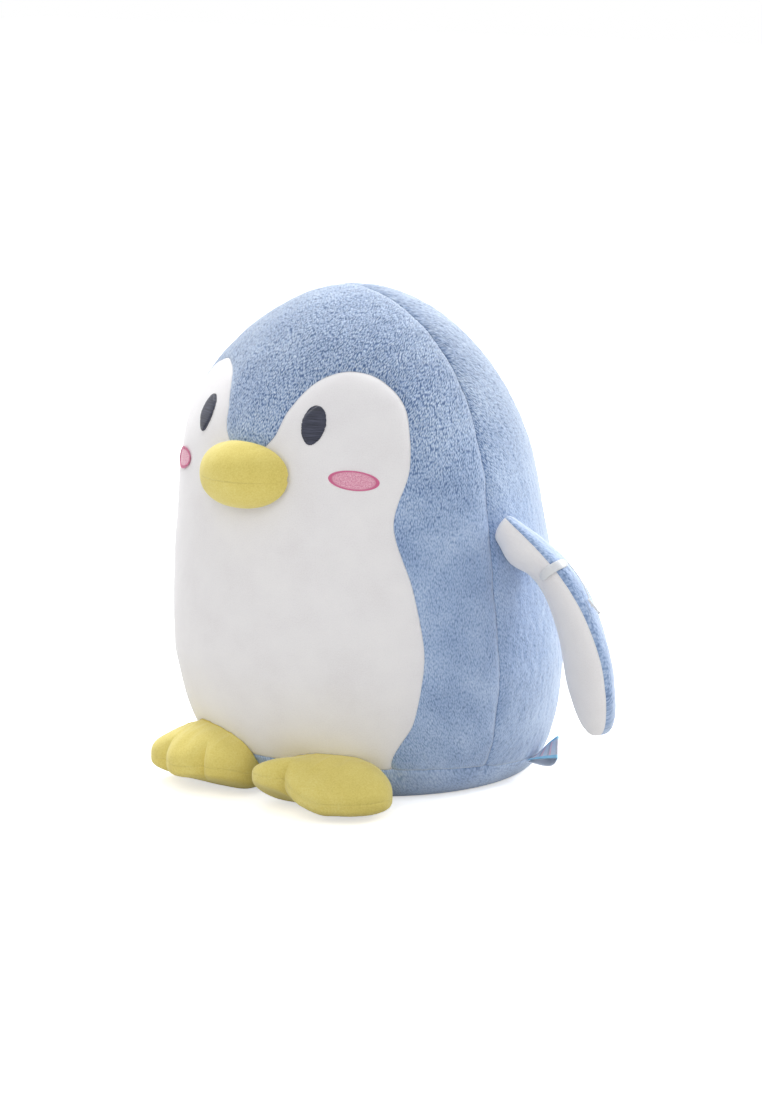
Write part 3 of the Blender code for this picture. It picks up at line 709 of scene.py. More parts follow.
def beak_surface(x, z):
    """A blunt rounded cushion that stands on the face, with a faint seam across it."""
    level = (np.abs(x / BEAK["half_width"]) ** BEAK["outline_power"]
             + np.abs((z - BEAK["centre"]) / BEAK["half_height"]) ** BEAK["outline_power"])
    level = clamp(level ** (1 / BEAK["outline_power"]))
    swell = (1 - level ** BEAK["dome_powers"][0]) ** BEAK["dome_powers"][1]
    depth = BEAK["rim"] + (BEAK["depth"] - BEAK["rim"]) * swell
    groove = np.exp(-np.abs(z - BEAK["seam"]) / (1.1 * MM))
    depth = depth - 0.04 * MM * groove * (0.2 + 0.8 * level)
    turn = turn_at_x(x, z)
    near_rim = smoothstep((level - 0.80) / 0.20)
    points = on_body(turn, z) + body_normal(turn, z) * (relief(turn, z) * near_rim)[..., None]
    points[..., 1] -= depth
    lumps = 0.35 * MM * noise(points, 11 * MM, 41) + 0.12 * MM * noise(points, 4 * MM, 42)
    points[..., 1] -= lumps * swell
    return points


def make_beak():
    cell = 0.6 * MM
    width, height, power = BEAK["half_width"], BEAK["half_height"], BEAK["outline_power"]
    offset = (BEAK["seam"] - BEAK["centre"]) / height
    corner = width * (1 - abs(offset) ** power) ** (1 / power)
    rows, columns = int(1.6 * height / cell), int(2.3 * corner / cell)
    x = corner * np.sin(pi / 2 * np.linspace(-1, 1, columns))
    share = np.sin(pi / 2 * np.linspace(0, 1, rows))[:, None]
    for word, sign in (("upper", 1), ("lower", -1)):
        edge = BEAK["centre"] + sign * height * clamp(1 - np.abs(x / width) ** power) ** (1 / power)
        edge = np.maximum(edge * sign, BEAK["seam"] * sign) * sign
        z = mix(BEAK["seam"], edge[None], share)
        sew("beak_fabric_" + word, "torso", "yellow_plush", "beak_%s_cover" % word,
            beak_surface(np.broadcast_to(x, z.shape), z), grid_faces(rows, columns, flip=sign < 0))


# Flippers

def flipper_frames(s, side):
    """Centres, chords (to the trailing edge) and outer normals along a flipper, as if on the left."""
    rest = FLIPPER_REST[side]
    turns = [radians(FLIPPER_ROOT[end][0] + rest["turn"]) for end in ("front", "back")]
    front = on_body(turns[0], FLIPPER_ROOT["front"][1])
    back = on_body(turns[1], FLIPPER_ROOT["back"][1])
    middle = sum(turns) / 2
    outwards = np.array([sin(middle), -cos(middle), 0])
    root = unit(back - front)

    def direction(at):
        bend = smoothstep(at / rest["bend_end"])
        lift, sweep = np.radians(mix(*rest["lift"], bend)), np.radians(mix(*rest["sweep"], bend))
        return stacked(np.sin(lift) * np.cos(sweep), np.sin(sweep), -np.cos(lift) * np.cos(sweep))

    fine = np.linspace(0, 1, 401)
    steps = direction((fine[1:] + fine[:-1]) / 2) * FLIPPER_LENGTH / 400
    track = ((front + back) / 2 + outwards * rest["stand_off"]
             + np.concatenate([[[0, 0, 0]], np.cumsum(steps, 0)]))
    centre = stacked(*(np.interp(s, fine, track[:, k]) for k in range(3)))
    down = direction(s)
    centre = centre + down * (np.minimum(s, 0) * FLIPPER_LENGTH)[..., None]
    chord = unit(root - down * (down @ root)[..., None])
    normal = np.cross(down, chord)
    normal = normal * np.where(normal @ outwards < 0, -1.0, 1.0)[..., None]
    twist = np.radians(mix(*rest["twist"], smoothstep(s / rest["twist_end"])))[..., None]
    across, along = np.cos(twist), np.sin(twist)
    return centre, chord * across - normal * along, normal * across + chord * along


def flipper_size(s):
    """Half chord, then thickness outside and inside the chord: a lens that rounds off at the tip."""
    tip = clamp((s - FLIPPER_TIP_START) / (1 - FLIPPER_TIP_START))
    round_tip = np.sqrt(clamp(1 - tip ** FLIPPER_TIP_POWER))
    swell = np.sin(pi / 2 * clamp(s / FLIPPER_SWELL_END))
    size = [mix(at_root, full, swell) * round_tip ** power
            for at_root, full, power in zip(FLIPPER_ROOT_SIZE, FLIPPER_SIZE, (1, 0.6, 0.6))]
    size[2] = size[2] + FLIPPER_ROOT_PUFF * np.exp(-((s - 0.11) / 0.09) ** 2)
    root_end = np.sqrt(clamp(1 - (np.minimum(s, 0) / FLIPPER_ROOT_END) ** 2))
    return [part * root_end for part in size]


def flipper_points(s, angle, side, inset=0.0):
    """Angle 0 is the leading edge and the first half turn is the outside."""
    centre, chord, normal = flipper_frames(s, side)
    half_chord, outer, inner = (np.maximum(size - inset, 0) for size in flipper_size(s))
    thick = np.where(np.sin(angle) >= 0, outer, inner)
    points = (centre - chord * (half_chord * np.cos(angle))[..., None]
              + normal * (thick * np.sin(angle))[..., None])
    return points * (side, 1, 1)


def flipper_push(side):
    """The flipper's fabric under its stuffing, held along its edge seams and root."""
    rows, columns = FLIPPER_PUSH_GRID
    s, angle = np.broadcast_arrays(np.linspace(0, FLIPPER_PUSH_END, rows)[:, None], circle(columns)[None])
    held = np.maximum(np.exp(-(np.sin(angle) / 0.25) ** 2), np.exp(-(s / 0.08) ** 2))
    return stuffing_push(flipper_points(s, angle, side), held, 1.6 * MM, reverse=side > 0)


def make_flippers():
    rows = int(1.15 * FLIPPER_LENGTH / CELL)
    columns = int(1.1 * pi * 0.5 * (FLIPPER_SIZE[0] + FLIPPER_SIZE[1]) / CELL)
    t = np.linspace(-0.06, 1, rows)
    share = np.where(t < 0, np.sin(pi / 2 * t / 0.06) * FLIPPER_ROOT_END, np.sin(pi / 2 * t))[:, None]
    half_turn = pi * np.linspace(0, 1, columns)[None]
    push_rows, push_columns = FLIPPER_PUSH_GRID
    for word, side in SIDES:
        push = flipper_push(side)
        start, end = (tuple(flipper_points(np.array(at), np.array(pi / 2), side))
                      for at in (0.0, FLIPPER_BLEND_END))
        for half, first, slot, height in (("outer", 0.0, "blue_plush", FLIPPER_BLUE_PILE),
                                          ("inner", pi, "white_plush", WHITE_PILE)):
            s, angle = np.broadcast_arrays(share, first + half_turn)
            plain = flipper_points(s, angle, side)
            row = np.clip(s, 0, FLIPPER_PUSH_END) / FLIPPER_PUSH_END * (push_rows - 1)
            points = plain + sample(push, row, angle / tau * push_columns, True)
            outward = unit(flipper_points(s, angle, side, -1 * MM) - plain)
            half_chord = flipper_size(s)[0]
            to_seam = half_chord * (1 - np.abs(np.cos(angle)))
            nap = stacked(half_chord * np.cos(angle), s * FLIPPER_LENGTH, 0 * s)
            out = (pile(nap, height) - 0.5 * MM * np.exp(-to_seam / (0.7 * MM))
                   + 0.45 * MM * np.exp(-to_seam / (5 * MM)) * noise(points, 7 * MM, 51 + side)
                   + 0.35 * MM * noise(points, 16 * MM, 53))
            points = clear_of_body(points + outward * (out * smoothstep((1 - s) / 0.02))[..., None], 0.4 * MM)
            piece = sew("flipper_fabric_%s_%s" % (word, half), None, slot, "flipper_%s_%s" % (word, half),
                        points, grid_faces(rows, columns, flip=side > 0), nap, 1.2 * MM)
            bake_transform(piece)


def make_tag_fastener():
    """What is left of the shop tag's nylon loop: a flat paddle bent round the leading edge, a filament
    along the blue side and the small cross bar at its end."""
    s_paddle, s_bar = 0.29, 0.49
    half_width, half_thick, clear = 2.3 * MM, 0.30 * MM, 0.8 * MM
    centre, chord, normal = (v[0] for v in flipper_frames(np.array([s_paddle]), 1))
    ahead, behind = (flipper_frames(np.array([s_paddle + step]), 1)[0][0] for step in (0.02, -0.02))
    along = unit(ahead - behind)
    half_chord, half_depth, _ = (float(v[0]) for v in flipper_size(np.array([s_paddle])))
    bend = np.radians(np.linspace(-46, 46, 19))
    oval = [(cos(a), sin(a)) for a in np.linspace(0, tau, 16, endpoint=False)]
    rings = []
    for angle in bend:
        forward, sideways = -chord * cos(angle), normal * sin(angle)
        outwards = unit(forward / half_chord + sideways / half_depth)
        taper = sqrt(max(1 - (angle / bend[-1]) ** 6, 0.02))
        middle = centre + (forward * half_chord + sideways * half_depth)
        rings.append([middle + outwards * (clear + half_thick * b)
                      + along * half_width * taper * np.sign(a) * abs(a) ** 0.4 for a, b in oval])
    steps = 24
    s_line = np.linspace(s_paddle, s_bar, steps)
    line = flipper_points(s_line, np.radians(np.linspace(46, 30, steps)), 1, -1.1 * MM)
    sag = np.sin(pi * np.linspace(0, 1, steps))[:, None]
    line = line + unit(flipper_frames(s_line, 1)[2]) * sag * 0.8 * MM
    bar_centre, _, bar_normal = (v[0] for v in flipper_frames(s_line[-1:], 1))
    bar_down = unit(flipper_frames(s_line[-1:] + 0.02, 1)[0][0] - bar_centre)
    bar_along = unit(0.9 * bar_down + 0.35 * bar_normal)
    bar = line[-1] + bar_normal * 1.2 * MM + np.linspace(-1, 1, 9)[:, None] * bar_along * 4.5 * MM
    make_piece("tag_fastener_loop", "flipper_left", "clear_nylon", "tag_fastener",
               *joined(capped_rings(np.array(rings)[:, ::-1]), tube(line, 0.28 * MM), tube(bar, 0.6 * MM)))


# Feet

def foot_reach(angle):
    """Distance from the foot's middle to its outline: a pad with three rounded toes in front."""
    def exit_distance(centre, half_size):
        ux, uy = np.cos(angle) / half_size[0], np.sin(angle) / half_size[1]
        cx, cy = centre[0] / half_size[0], centre[1] / half_size[1]
        a, b, c = ux * ux + uy * uy, ux * cx + uy * cy, cx * cx + cy * cy - 1
        inside = b * b - a * c
        return np.where(inside > 0, np.maximum((b + np.sqrt(np.maximum(inside, 0))) / a, 0), 0)
    shapes = [(PAD_CENTRE, PAD_HALF_SIZE)] + [(c, (TOE_RADIUS, TOE_RADIUS)) for c in TOE_CENTRES]
    power = 9
    return sum(exit_distance(*shape) ** power for shape in shapes) ** (1 / power)


def smooth_reach(angle):
    """The outline's distance with the notches between the toes smoothed over, as on top of the stuffing."""
    return sum(foot_reach(angle + turn) for turn in np.linspace(-0.6, 0.6, 11)) / 11


def foot_points(grow, angle, spec, half, inset=0.0):
    """A stuffed pad on the floor; half is +1 for the top and -1 for the sole. Also gives local u, v."""
    notched = mix(*spec["notches"], smoothstep((np.cos(angle) + 0.3) / 0.6)) * smoothstep((grow - 0.6) / 0.4)
    reach = mix(smooth_reach(angle), foot_reach(angle), notched)
    reach = np.maximum(reach - inset, MM) * grow
    u, v = reach * np.cos(angle), reach * np.sin(angle)
    u = u * np.where(u < 0, spec["inner_width"], 1.0)
    crown = clamp(1 - grow ** FOOT_CROWN_POWERS[0]) ** FOOT_CROWN_POWERS[1]
    if half > 0:
        top = spec["top"] * mix(1.0, TOE_HEIGHT_SHARE, smoothstep(v / TOE_REACH))
        z = FOOT_SEAM_Z + (top - inset) * crown
    else:
        z = FOOT_SEAM_Z - (FOOT_SEAM_Z - SOLE_CLEARANCE - inset) * crown ** 0.5
    z = z + mix(*spec["toe_rise"], smoothstep((u + 20 * MM) / (30 * MM))) * smoothstep((v - 2 * MM) / (26 * MM))
    heading = radians(spec["heading"])
    x = u * cos(heading) + v * sin(heading)
    y = u * sin(heading) - v * cos(heading)
    points = stacked(spec["side"] * (spec["centre"][0] + x), spec["centre"][1] + y, z)
    return points, u, v


def clear_of_body(points, gap):
    """Pushes the points that are inside the body's skin out to its surface."""
    x, y, z = points[..., 0], points[..., 1], np.clip(points[..., 2], 0.3 * MM, HEIGHT)
    turn = np.arctan2(x, -(y - lean(z)))
    distance = np.hypot(x, y - lean(z))
    limit = body_radius(turn, z) + relief(turn, z) + gap
    reach = np.maximum(distance, limit)
    return stacked(reach * np.sin(turn), lean(z) - reach * np.cos(turn), points[..., 2])


def toe_creases(u, v):
    """Dents that run back from the two notches between the toes."""
    depth = 0.0
    for first, second in zip(TOE_CENTRES, TOE_CENTRES[1:]):
        notch = np.array([(first[0] + second[0]) / 2, 27 * MM])
        inner = np.array([notch[0] * 0.8, 10 * MM])
        side = inner - notch
        places = stacked(u, v) - notch
        share = clamp(places @ side / (side @ side))
        gap = np.linalg.norm(places - share[..., None] * side, axis=-1)
        depth = depth + (1 - share) ** 0.8 * np.exp(-(gap / (2.4 * MM)) ** 2)
    return depth


def foot_push(spec):
    """The top of the foot under its stuffing, held along its seam."""
    rings, columns = FOOT_PUSH_GRID
    grow = np.sin(pi / 2 * np.linspace(0.1, 1, rings))[:, None]
    grow, angle = np.broadcast_arrays(grow, circle(columns)[None])
    grid, u, v = foot_points(grow, angle, spec, 1)
    held = np.maximum(np.exp(-((1 - grow) / 0.08) ** 2), 0.4 * clamp(toe_creases(u, v)))
    return stuffing_push(grid, held, 1.2 * MM, reverse=spec["side"] < 0)


def make_feet():
    columns, rings = 260, 66
    push_rings, push_columns = FOOT_PUSH_GRID
    share = np.linspace(0.02, 1, rings)[:, None]
    grow, angle = np.broadcast_arrays(np.sin(pi / 2 * share), circle(columns)[None])
    for word, spec in FEET.items():
        push = foot_push(spec)
        for half_word, half in (("upper", 1), ("sole", -1)):
            points, u, v = foot_points(grow, angle, spec, half)
            centre = foot_points(np.array(0.0), np.array(0.0), spec, half)[0]
            if half > 0:
                row = np.clip((share - 0.1) / 0.9 * (push_rings - 1), 0, push_rings - 1)
                row = np.broadcast_to(row, grow.shape)
                points = points + sample(push, row, angle / tau * push_columns, True)
            crown = np.sqrt(clamp(1 - grow ** 4))
            wrinkles = 1 - 2 * np.abs(noise(points, np.array([5, 16, 9]) * MM, 63))
            lumps = (0.5 * MM * noise(points, 12 * MM, 61) + 0.22 * MM * noise(points, 5 * MM, 62)
                     - 0.15 * MM * toe_creases(u, v) + 0.3 * MM * wrinkles * (half > 0))
            points[..., 2] = np.maximum(points[..., 2] + half * lumps * crown, 0.2 * MM)
            groove = 0.5 * MM * np.exp(-(1 - grow) / 0.02)
            middle = np.array([spec["side"] * spec["centre"][0], spec["centre"][1]])
            points[..., :2] -= unit(points[..., :2] - middle) * groove[..., None]
            points = np.concatenate([points.reshape(-1, 3), centre[None]])
            points = clear_of_body(points, 0.3 * MM)
            flip = (half > 0) == (spec["side"] < 0)
            rim = fan(np.arange(columns), rings * columns)
            faces = np.concatenate([grid_faces(rings, columns, wrap=True, flip=flip),
                                    rim[:, ::-1] if flip else rim])
            sew("foot_fabric_%s_%s" % (word, half_word), "foot_" + word, "yellow_plush",
                "foot_%s_%s" % (word, half_word), points, faces, allowance=1.0 * MM)


# Label

def make_label():
    """A woven tape folded into a flat loop and sewn into the base seam by both its ends."""
    turn, tilt = radians(LABEL["turn"]), radians(LABEL["tilt"])
    outwards = np.array([sin(turn), -cos(turn), 0])
    sideways = np.array([cos(turn), sin(turn), 0])
    seam_z = float(base_seam_z(np.array([turn]))[0])
    root = on_body(turn, seam_z) + outwards * (LABEL["stand_off"] - 1.0 * MM)
    along = outwards * cos(tilt) + np.array([0, 0, sin(tilt)])
    up = np.cross(along, sideways)
    up = up if up[2] > 0 else -up
    length, half_gap, thick = LABEL["length"] + 0.6 * MM, 0.55 * MM, 0.14 * MM
    lower = [(length * t, -half_gap - LABEL["sag"] * sin(pi * t ** 1.6))
             for t in np.linspace(0, 1, 22)[:-1]]
    fold = [(length + 0.55 * MM * cos(a), half_gap * sin(a))
            for a in np.linspace(-pi / 2, pi / 2, 9)]
    upper = [(x, half_gap * (1 + 0.8 * sin(pi * x / length))) for x, _ in reversed(lower)]
    path = np.array(lower + fold + upper)
    tangent = unit(np.gradient(path, axis=0))
    offset = stacked(-tangent[:, 1], tangent[:, 0]) * thick
    columns = np.linspace(-1, 1, 33)
    run = np.concatenate([[0], np.cumsum(np.linalg.norm(np.diff(path, axis=0), axis=1))])
    roll = radians(LABEL["roll"]) * clamp(path[:, 0] / length)[:, None]
    across = (sideways * np.cos(roll) + up * np.sin(roll))[:, None]
    raised = (up * np.cos(roll) - sideways * np.sin(roll))[:, None]
    wave = 0.35 * MM * np.sin(2.2 * columns + 0.6)[None] * (path[:, 0:1] / length) ** 2
    outer, inner = (root + shape[:, None, 0:1] * along + (shape[:, None, 1:2] + wave[..., None]) * raised
                    + (columns * LABEL["half_width"])[None, :, None] * across
                    for shape in (path + offset, path - offset))
    nap = np.stack(np.broadcast_arrays((columns * LABEL["half_width"])[None], run[:, None], 0.0), axis=-1)
    rows, count = outer.shape[:2]
    start = np.arange(count - 1)
    low_end = stacked(start, start + 1, 2 * count - 2 - start, 2 * count - 1 - start)[:, ::-1]
    high_end = low_end[:, ::-1] + (rows - 1) * 2 * count
    faces = np.concatenate([grid_faces(rows, 2 * count, wrap=True), low_end, high_end])
    points, nap = (np.concatenate([first, second[:, ::-1]], axis=1).reshape(-1, 3)
                   for first, second in ((outer, inner), (nap, nap)))
    make_piece("label_loop", "label", "woven_tape", "woven_label", points, faces, nap)


# Stuffing

def wad(name, body, cad_node, rings):
    make_piece("stuffing_" + name, body, "fibre_filling", cad_node, *capped_rings(rings))


def make_stuffing():
    """Wads of polyester fibre inside the body, flippers, feet and beak."""
    inset = 8 * MM
    z = inset + (HEIGHT - 2 * inset) * (1 - np.cos(pi * np.linspace(0.06, 0.94, 34))) / 2
    z, turn = np.broadcast_arrays(z[:, None], circle(60)[None])
    points = on_body(turn, z)
    points = points - body_normal(turn, z) * (inset + 1.5 * MM * noise(points, 14 * MM, 71))[..., None]
    wad("body", "torso", "body_filling", points)

    s, angle = np.broadcast_arrays(np.linspace(FLIPPER_BLEND_END, 0.90, 20)[:, None], circle(28)[None])
    for word, side in SIDES:
        wad("flipper_" + word, "flipper_" + word, "flipper_%s_filling" % word,
            flipper_points(s, angle, side, 3.2 * MM)[:, ::-side])

    grow, angle = np.broadcast_arrays(np.array([0.2, 0.5, 0.75, 0.9, 0.97])[:, None], circle(36)[None])
    for word, spec in FEET.items():
        top = foot_points(grow, angle, spec, 1, 3.2 * MM)[0]
        sole = foot_points(grow, angle, spec, -1, 2.5 * MM)[0]
        points = clear_of_body(np.concatenate([sole, top[::-1]]), 3.5 * MM)
        wad("foot_" + word, "foot_" + word, "foot_%s_filling" % word, points[:, ::-spec["side"]])

    grow, angle = np.array([0.15, 0.4, 0.65, 0.85])[:, None], circle(36)[None]
    x = 0.85 * BEAK["half_width"] * grow * np.cos(angle)
    z = BEAK["centre"] + 0.85 * BEAK["half_height"] * grow * np.sin(angle)
    front = beak_surface(x, z)
    front[..., 1] += 2.6 * MM
    back = on_skin(turn_at_x(x, z), z, 0.6 * MM)
    wad("beak", "torso", "beak_filling", np.concatenate([front, back[::-1]])[:, ::-1])

# Materials

class Shading:
    """The node tree of a material or of the world, and the tools that build it."""

    def __init__(self, owner, shader, inputs):
        owner.use_nodes = True
        self.owner, self.tree = owner, owner.node_tree
        self.shader = self.tree.nodes[shader]
        self.plug(self.shader, inputs)

    def plug(self, made, inputs):
        """Sets inputs to numbers, vectors, colours or other nodes' outputs."""
        for key, value in inputs.items():
            socket = made.inputs[key]
            if isinstance(value, bpy.types.NodeSocket):
                self.tree.links.new(value, socket)
            else:
                socket.default_value = (*value, 1) if socket.type == "RGBA" else value

    def node(self, kind, output, inputs=None, **settings):
        made = self.tree.nodes.new("ShaderNode" + kind)
        for key, value in settings.items():
            setattr(made, key, value)
        self.plug(made, inputs or {})
        return made.outputs[output]

    def math(self, operation, first, second=0.5):
        return self.node("Math", 0, {0: first, 1: second}, operation=operation)

    def vector(self, operation, first, second):
        return self.node("VectorMath", "Vector", {0: first, 1: second}, operation=operation)

    def nap(self):
        return self.node("Attribute", "Vector", attribute_name="nap")

    def part(self, vector, axis):
        return self.node("SeparateXYZ", axis, {"Vector": vector})

    def noise(self, scale, detail, vector=None, **more):
        place = {"Vector": vector} if vector else {}
        return self.node("TexNoise", "Fac", {"Scale": scale, "Detail": detail, **place, **more})

    def mixed(self, factor, first, second):
        return self.node("Mix", 2, {"Factor": factor, 6: first, 7: second}, data_type="RGBA")

    def ramp(self, factor, *stops):
        """A colour ramp through (position, colour) stops."""
        colour = self.node("ValToRGB", "Color", {"Fac": factor})
        ramp = colour.node.color_ramp
        while len(ramp.elements) < len(stops):
            ramp.elements.new(0.5)
        for element, (position, value) in zip(ramp.elements, stops):
            element.position = position
            element.color = (*value, 1)
        return colour

    def with_painted_sheen(self, colour, edge, blend, power, share):
        """The colour mixed towards a pale edge colour at grazing angles: a painted sheen of rim light."""
        facing = self.node("LayerWeight", "Facing", {"Blend": blend})
        return self.mixed(self.math("MULTIPLY", self.math("POWER", facing, power), share), colour, edge)

    def finished(self, colour, height=None, strength=0.0, distance=0.0):
        self.plug(self.shader, {"Base Color": colour})
        if height:
            bump = {"Height": height, "Strength": strength, "Distance": distance}
            self.plug(self.shader, {"Normal": self.node("Bump", "Normal", bump)})
        return self.owner


def new_material(name, roughness, inputs=None):
    inputs = {"Roughness": roughness, **(inputs or {})}
    return Shading(bpy.data.materials.new(name), "Principled BSDF", inputs)


def sheen(weight, roughness, tint):
    return {"Sheen Weight": weight, "Sheen Roughness": roughness, "Sheen Tint": tint,
            "Specular IOR Level": 0.15}


def plush_material(name, gap, base, tip, edge, tuft, bump):
    """Pile fabric: tufts along the nap, with painted shade in the gaps between them and painted highlights on
    their tips; the painted contrast and the bump grow towards the crown, where the light from above falls.
    """
    look = new_material(name, 0.92, sheen(0.45, 0.45, edge))
    nap = look.nap()
    wander = look.node("TexNoise", "Color", {"Vector": nap, "Scale": 160.0, "Detail": 2.0})
    wander = look.vector("ADD", wander, (-0.5, -0.5, -0.5))
    bent = look.vector("ADD", nap, look.vector("MULTIPLY", wander, (tuft[0] * 2.4, tuft[1] * 1.2, 0)))
    stretched = look.vector("MULTIPLY", bent, (1 / tuft[0], 1 / tuft[1], 0))
    tufts = look.node("TexVoronoi", "Distance", {"Vector": stretched, "Scale": 1.0, "Smoothness": 0.35},
                      feature="SMOOTH_F1", voronoi_dimensions="2D")
    worms = look.noise(1.0, 3.0, look.vector("MULTIPLY", stretched, (1.5, 0.8, 0)))
    worms.node.noise_dimensions = "2D"
    height = look.math("ADD", look.math("MULTIPLY", look.math("SUBTRACT", 1.0, tufts), 0.55),
                       look.math("MULTIPLY", worms, 0.55))
    patches = look.noise(38.0, 3.0, nap)
    # Painted contrast towards the crown: the painted shade and highlights, and the bump, grow stronger up top,
    # where the light from above falls.
    top_light_contrast = look.node("MapRange", "Result", {"Value": look.part(nap, "Y"), "From Min": 0.13, "From Max": 0.25,
                                             "To Min": 0.40, "To Max": 1.25}, interpolation_type="SMOOTHSTEP")
    middle = 0.62
    depth = look.math("MULTIPLY", look.math("SUBTRACT", height, middle), top_light_contrast)
    shade = look.math("ADD", look.math("ADD", depth, middle),
                      look.math("MULTIPLY", look.math("SUBTRACT", patches, 0.5), 0.26))
    # Painted light: the gap colour is painted shade in the hollows between tufts, and the tip colour is a
    # painted highlight on their tops.
    colour = look.ramp(shade, (middle - 0.20, gap), (middle, base), (middle + 0.22, tip))
    # Painted sheen: a pale rim colour is mixed in at grazing angles, standing in for light caught by the pile.
    return look.finished(look.with_painted_sheen(colour, edge, 0.36, 1.7, 0.88), height,
                         look.math("MULTIPLY", top_light_contrast, bump), 0.8 * MM)


def velour_material(name, dark, base, pale, edge, grain, bump):
    """Short smooth pile: a fine grain and faint brushed patches."""
    look = new_material(name, 0.9, sheen(0.30, 0.5, edge))
    nap = look.nap()
    fine = look.noise(1 / grain, 4.0, nap, Roughness=0.65)
    brushed = look.noise(45.0, 4.0, nap)
    shade = look.math("ADD", look.math("MULTIPLY", fine, 0.55), look.math("MULTIPLY", brushed, 0.45))
    colour = look.ramp(shade, (0.30, dark), (0.5, base), (0.68, pale))
    # Painted sheen: a pale rim colour is mixed in at grazing angles, standing in for light caught by the pile.
    return look.finished(look.with_painted_sheen(colour, edge, 0.30, 2.2, 0.55), fine, bump, 0.4 * MM)


def thread_material(name, dark, base, pale, pitch, across_nap=False, border=None):
    """Embroidery thread: fine twisted strands with a soft gloss, and a border where the nap's z is 1."""
    look = new_material(name, 0.48, {"Sheen Weight": 0.25})
    nap = look.nap()
    stretch = (90.0, 1.0 / pitch, 300.0) if across_nap else (1.0 / pitch, 1.0 / pitch, 1.0 / pitch)
    strands = look.noise(1.0, 3.0, look.vector("MULTIPLY", nap, stretch))
    colour = look.ramp(strands, (0.32, dark), (0.5, base), (0.68, pale))
    return look.finished(look.mixed(look.part(nap, "Z"), colour, border or base), strands, 0.6, 0.25 * MM)


def tape_material(name):
    """Woven tape: sky-blue borders, plain pink and grey stripes on its upper face, pale underneath."""
    look = new_material(name, 0.6)
    nap = look.nap()
    across, along = look.part(nap, "X"), look.part(nap, "Y")
    border = look.math("GREATER_THAN", look.math("ABSOLUTE", across), LABEL["half_width"] - 2.2 * MM)
    stripe = look.math("FRACT", look.math("MULTIPLY", along, 1 / (4.4 * MM)))
    pink, grey = look.math("GREATER_THAN", stripe, 0.78), look.math("LESS_THAN", stripe, 0.22)
    striped = look.mixed(pink, (0.50, 0.58, 0.70), (0.72, 0.42, 0.52))
    striped = look.mixed(grey, striped, (0.33, 0.38, 0.46))
    upper_face = look.math("GREATER_THAN", along, LABEL["length"] + 1.5 * MM)
    colour = look.mixed(upper_face, (0.72, 0.76, 0.86), look.mixed(border, striped, (0.13, 0.50, 0.74)))
    weave = look.noise(1.0, 1.0, look.vector("MULTIPLY", nap, (2500.0, 900.0, 1.0)))
    varied = look.mixed(look.math("MULTIPLY", weave, 0.4), colour, (0.85, 0.88, 0.95))
    return look.finished(varied, weave, 0.4, 0.1 * MM)


def nylon_material(name):
    """Cloudy clear nylon."""
    look = new_material(name, 0.28, {"Transmission Weight": 0.25, "IOR": 1.3})
    cloud = look.noise(500.0, 2.0)
    return look.finished(look.ramp(cloud, (0.3, (0.90, 0.93, 0.97)), (0.7, (0.97, 0.98, 1.0))))


def fibre_material(name):
    """White polyester fibre."""
    look = new_material(name, 1.0)
    strands = look.noise(900.0, 5.0, look.nap())
    colour = look.ramp(strands, (0.3, (0.75, 0.75, 0.73)), (0.7, (0.93, 0.93, 0.92)))
    return look.finished(colour, strands, 0.7, 0.6 * MM)


def make_materials():
    """The material of each slot."""
    MATERIALS.update({
        # Blue pile colours: painted shade in the gaps, base, painted highlight on the tips, and the sheen tint
        # that is also mixed in as a painted sheen at grazing angles.
        "blue_plush": plush_material("blue_pile", (0.10, 0.17, 0.36), (0.35, 0.48, 0.73), (0.76, 0.86, 1.0),
                                     (0.78, 0.87, 1.0), (0.62 * MM, 1.6 * MM), 0.85),
        # The last colour of each velour is its sheen tint, and it is also mixed in as a painted sheen at
        # grazing angles.
        "white_plush": velour_material("white_velour", (0.83, 0.81, 0.83), (0.89, 0.88, 0.90),
                                       (0.93, 0.92, 0.93), (0.95, 0.95, 0.97), 0.7 * MM, 0.25),
        "yellow_plush": velour_material("yellow_velour", (0.70, 0.57, 0.14), (0.81, 0.68, 0.20),
                                        (0.88, 0.77, 0.28), (0.95, 0.90, 0.55), 0.8 * MM, 0.30),
        "navy_thread": thread_material("navy_embroidery", (0.010, 0.014, 0.030), (0.035, 0.04, 0.075),
                                       (0.07, 0.08, 0.13), 0.5 * MM, across_nap=True),
        "pink_thread": thread_material("pink_embroidery", (0.66, 0.24, 0.38), (0.82, 0.36, 0.50),
                                       (0.93, 0.60, 0.70), 0.6 * MM, border=(0.72, 0.16, 0.33)),
        "blue_thread": thread_material("blue_sewing_thread", (0.12, 0.20, 0.36), (0.25, 0.36, 0.56),
                                       (0.45, 0.56, 0.75), 0.4 * MM),
        "clear_nylon": nylon_material("clear_nylon_plastic"),
        "woven_tape": tape_material("woven_label_tape"),
        "fibre_filling": fibre_material("polyester_fibre")})


# Stage

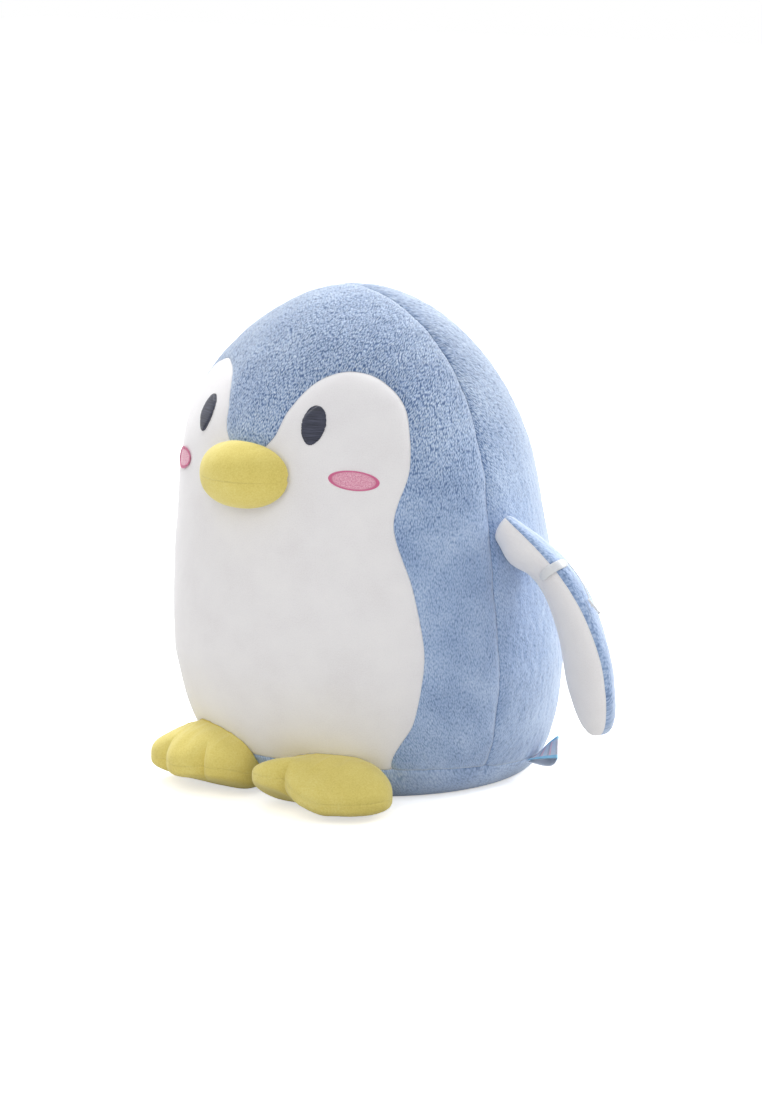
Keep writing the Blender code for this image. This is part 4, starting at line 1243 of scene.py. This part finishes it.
def make_stage():
    """A white floor, brighter to the camera than to the light that bounces off it."""
    look = new_material("studio_white", 0.9, {"Emission Color": (1, 1, 1)})
    paper = look.ramp(look.noise(40.0, 2.0), (0.0, (0.93, 0.93, 0.93)), (1.0, (0.95, 0.95, 0.95)))
    seen = look.node("LightPath", "Is Camera Ray")
    look.plug(look.shader, {"Emission Strength": look.math("MULTIPLY", seen, FLOOR_GLOW)})
    material = look.finished(look.mixed(seen, (0.66, 0.65, 0.63), paper))
    corners = 6.0 * np.array([(-1, -1, 0), (1, -1, 0), (1, 1, 0), (-1, 1, 0)])
    new_mesh("floor", corners, np.array([[0, 1, 2, 3]]), material)


def make_world():
    """White to the camera, and a softer even light on the object."""
    look = Shading(bpy.data.worlds.new("studio"), "Background", {"Color": (1, 1, 1)})
    hidden_part = look.math("MULTIPLY", look.node("LightPath", "Is Camera Ray"), 1.0 - AMBIENT)
    look.plug(look.shader, {"Strength": look.math("ADD", hidden_part, AMBIENT)})
    bpy.context.scene.world = look.owner


def place(name, data, location, forwards):
    """Adds a light or a camera that looks along a direction."""
    made = bpy.data.objects.new(name, data)
    made.location = location
    made.rotation_euler = Vector(forwards).to_track_quat("-Z", "Y").to_euler()
    bpy.context.scene.collection.objects.link(made)
    return made


def make_lights():
    """Two broad lights behind the penguin, above its far side and beside its back, and a weak front one."""
    middle = Vector((0, 0, 0.13))
    for name, location, size, power in (("far_side_top", (-0.9, 0.5, 1.5), 1.0, 23.0),
                                        ("back_side", (0.55, 1.4, 1.1), 1.0, 23.0),
                                        ("front", (0.5, -1.6, 1.6), 1.2, 5.0)):
        light = bpy.data.lights.new(name, "AREA")
        light.shape = "DISK"
        light.size = size
        light.energy = power
        place(name, light, location, middle - Vector(location)).visible_camera = False


def make_camera():
    azimuth, elevation = radians(38.5), radians(11.0)
    aim, distance = Vector((0, -0.0093, 0.120)), 1.7855
    back = Vector((sin(azimuth) * cos(elevation), -cos(azimuth) * cos(elevation),
                   sin(elevation)))
    camera = bpy.data.cameras.new("camera")
    camera.sensor_width, camera.lens = 36.0, 114.545
    camera.shift_x, camera.shift_y = 0.01145, -0.01391
    bpy.context.scene.camera = place("camera", camera, aim + back * distance, -back)


make_materials()
for make in (make_front, make_backs, make_base, make_eyes, make_blushes, make_closing_stitch, make_beak,
             make_flippers, make_tag_fastener, make_feet, make_label, make_stuffing, make_stage, make_world,
             make_lights, make_camera):
    make()
bpy.context.scene.view_settings.view_transform = "Standard"
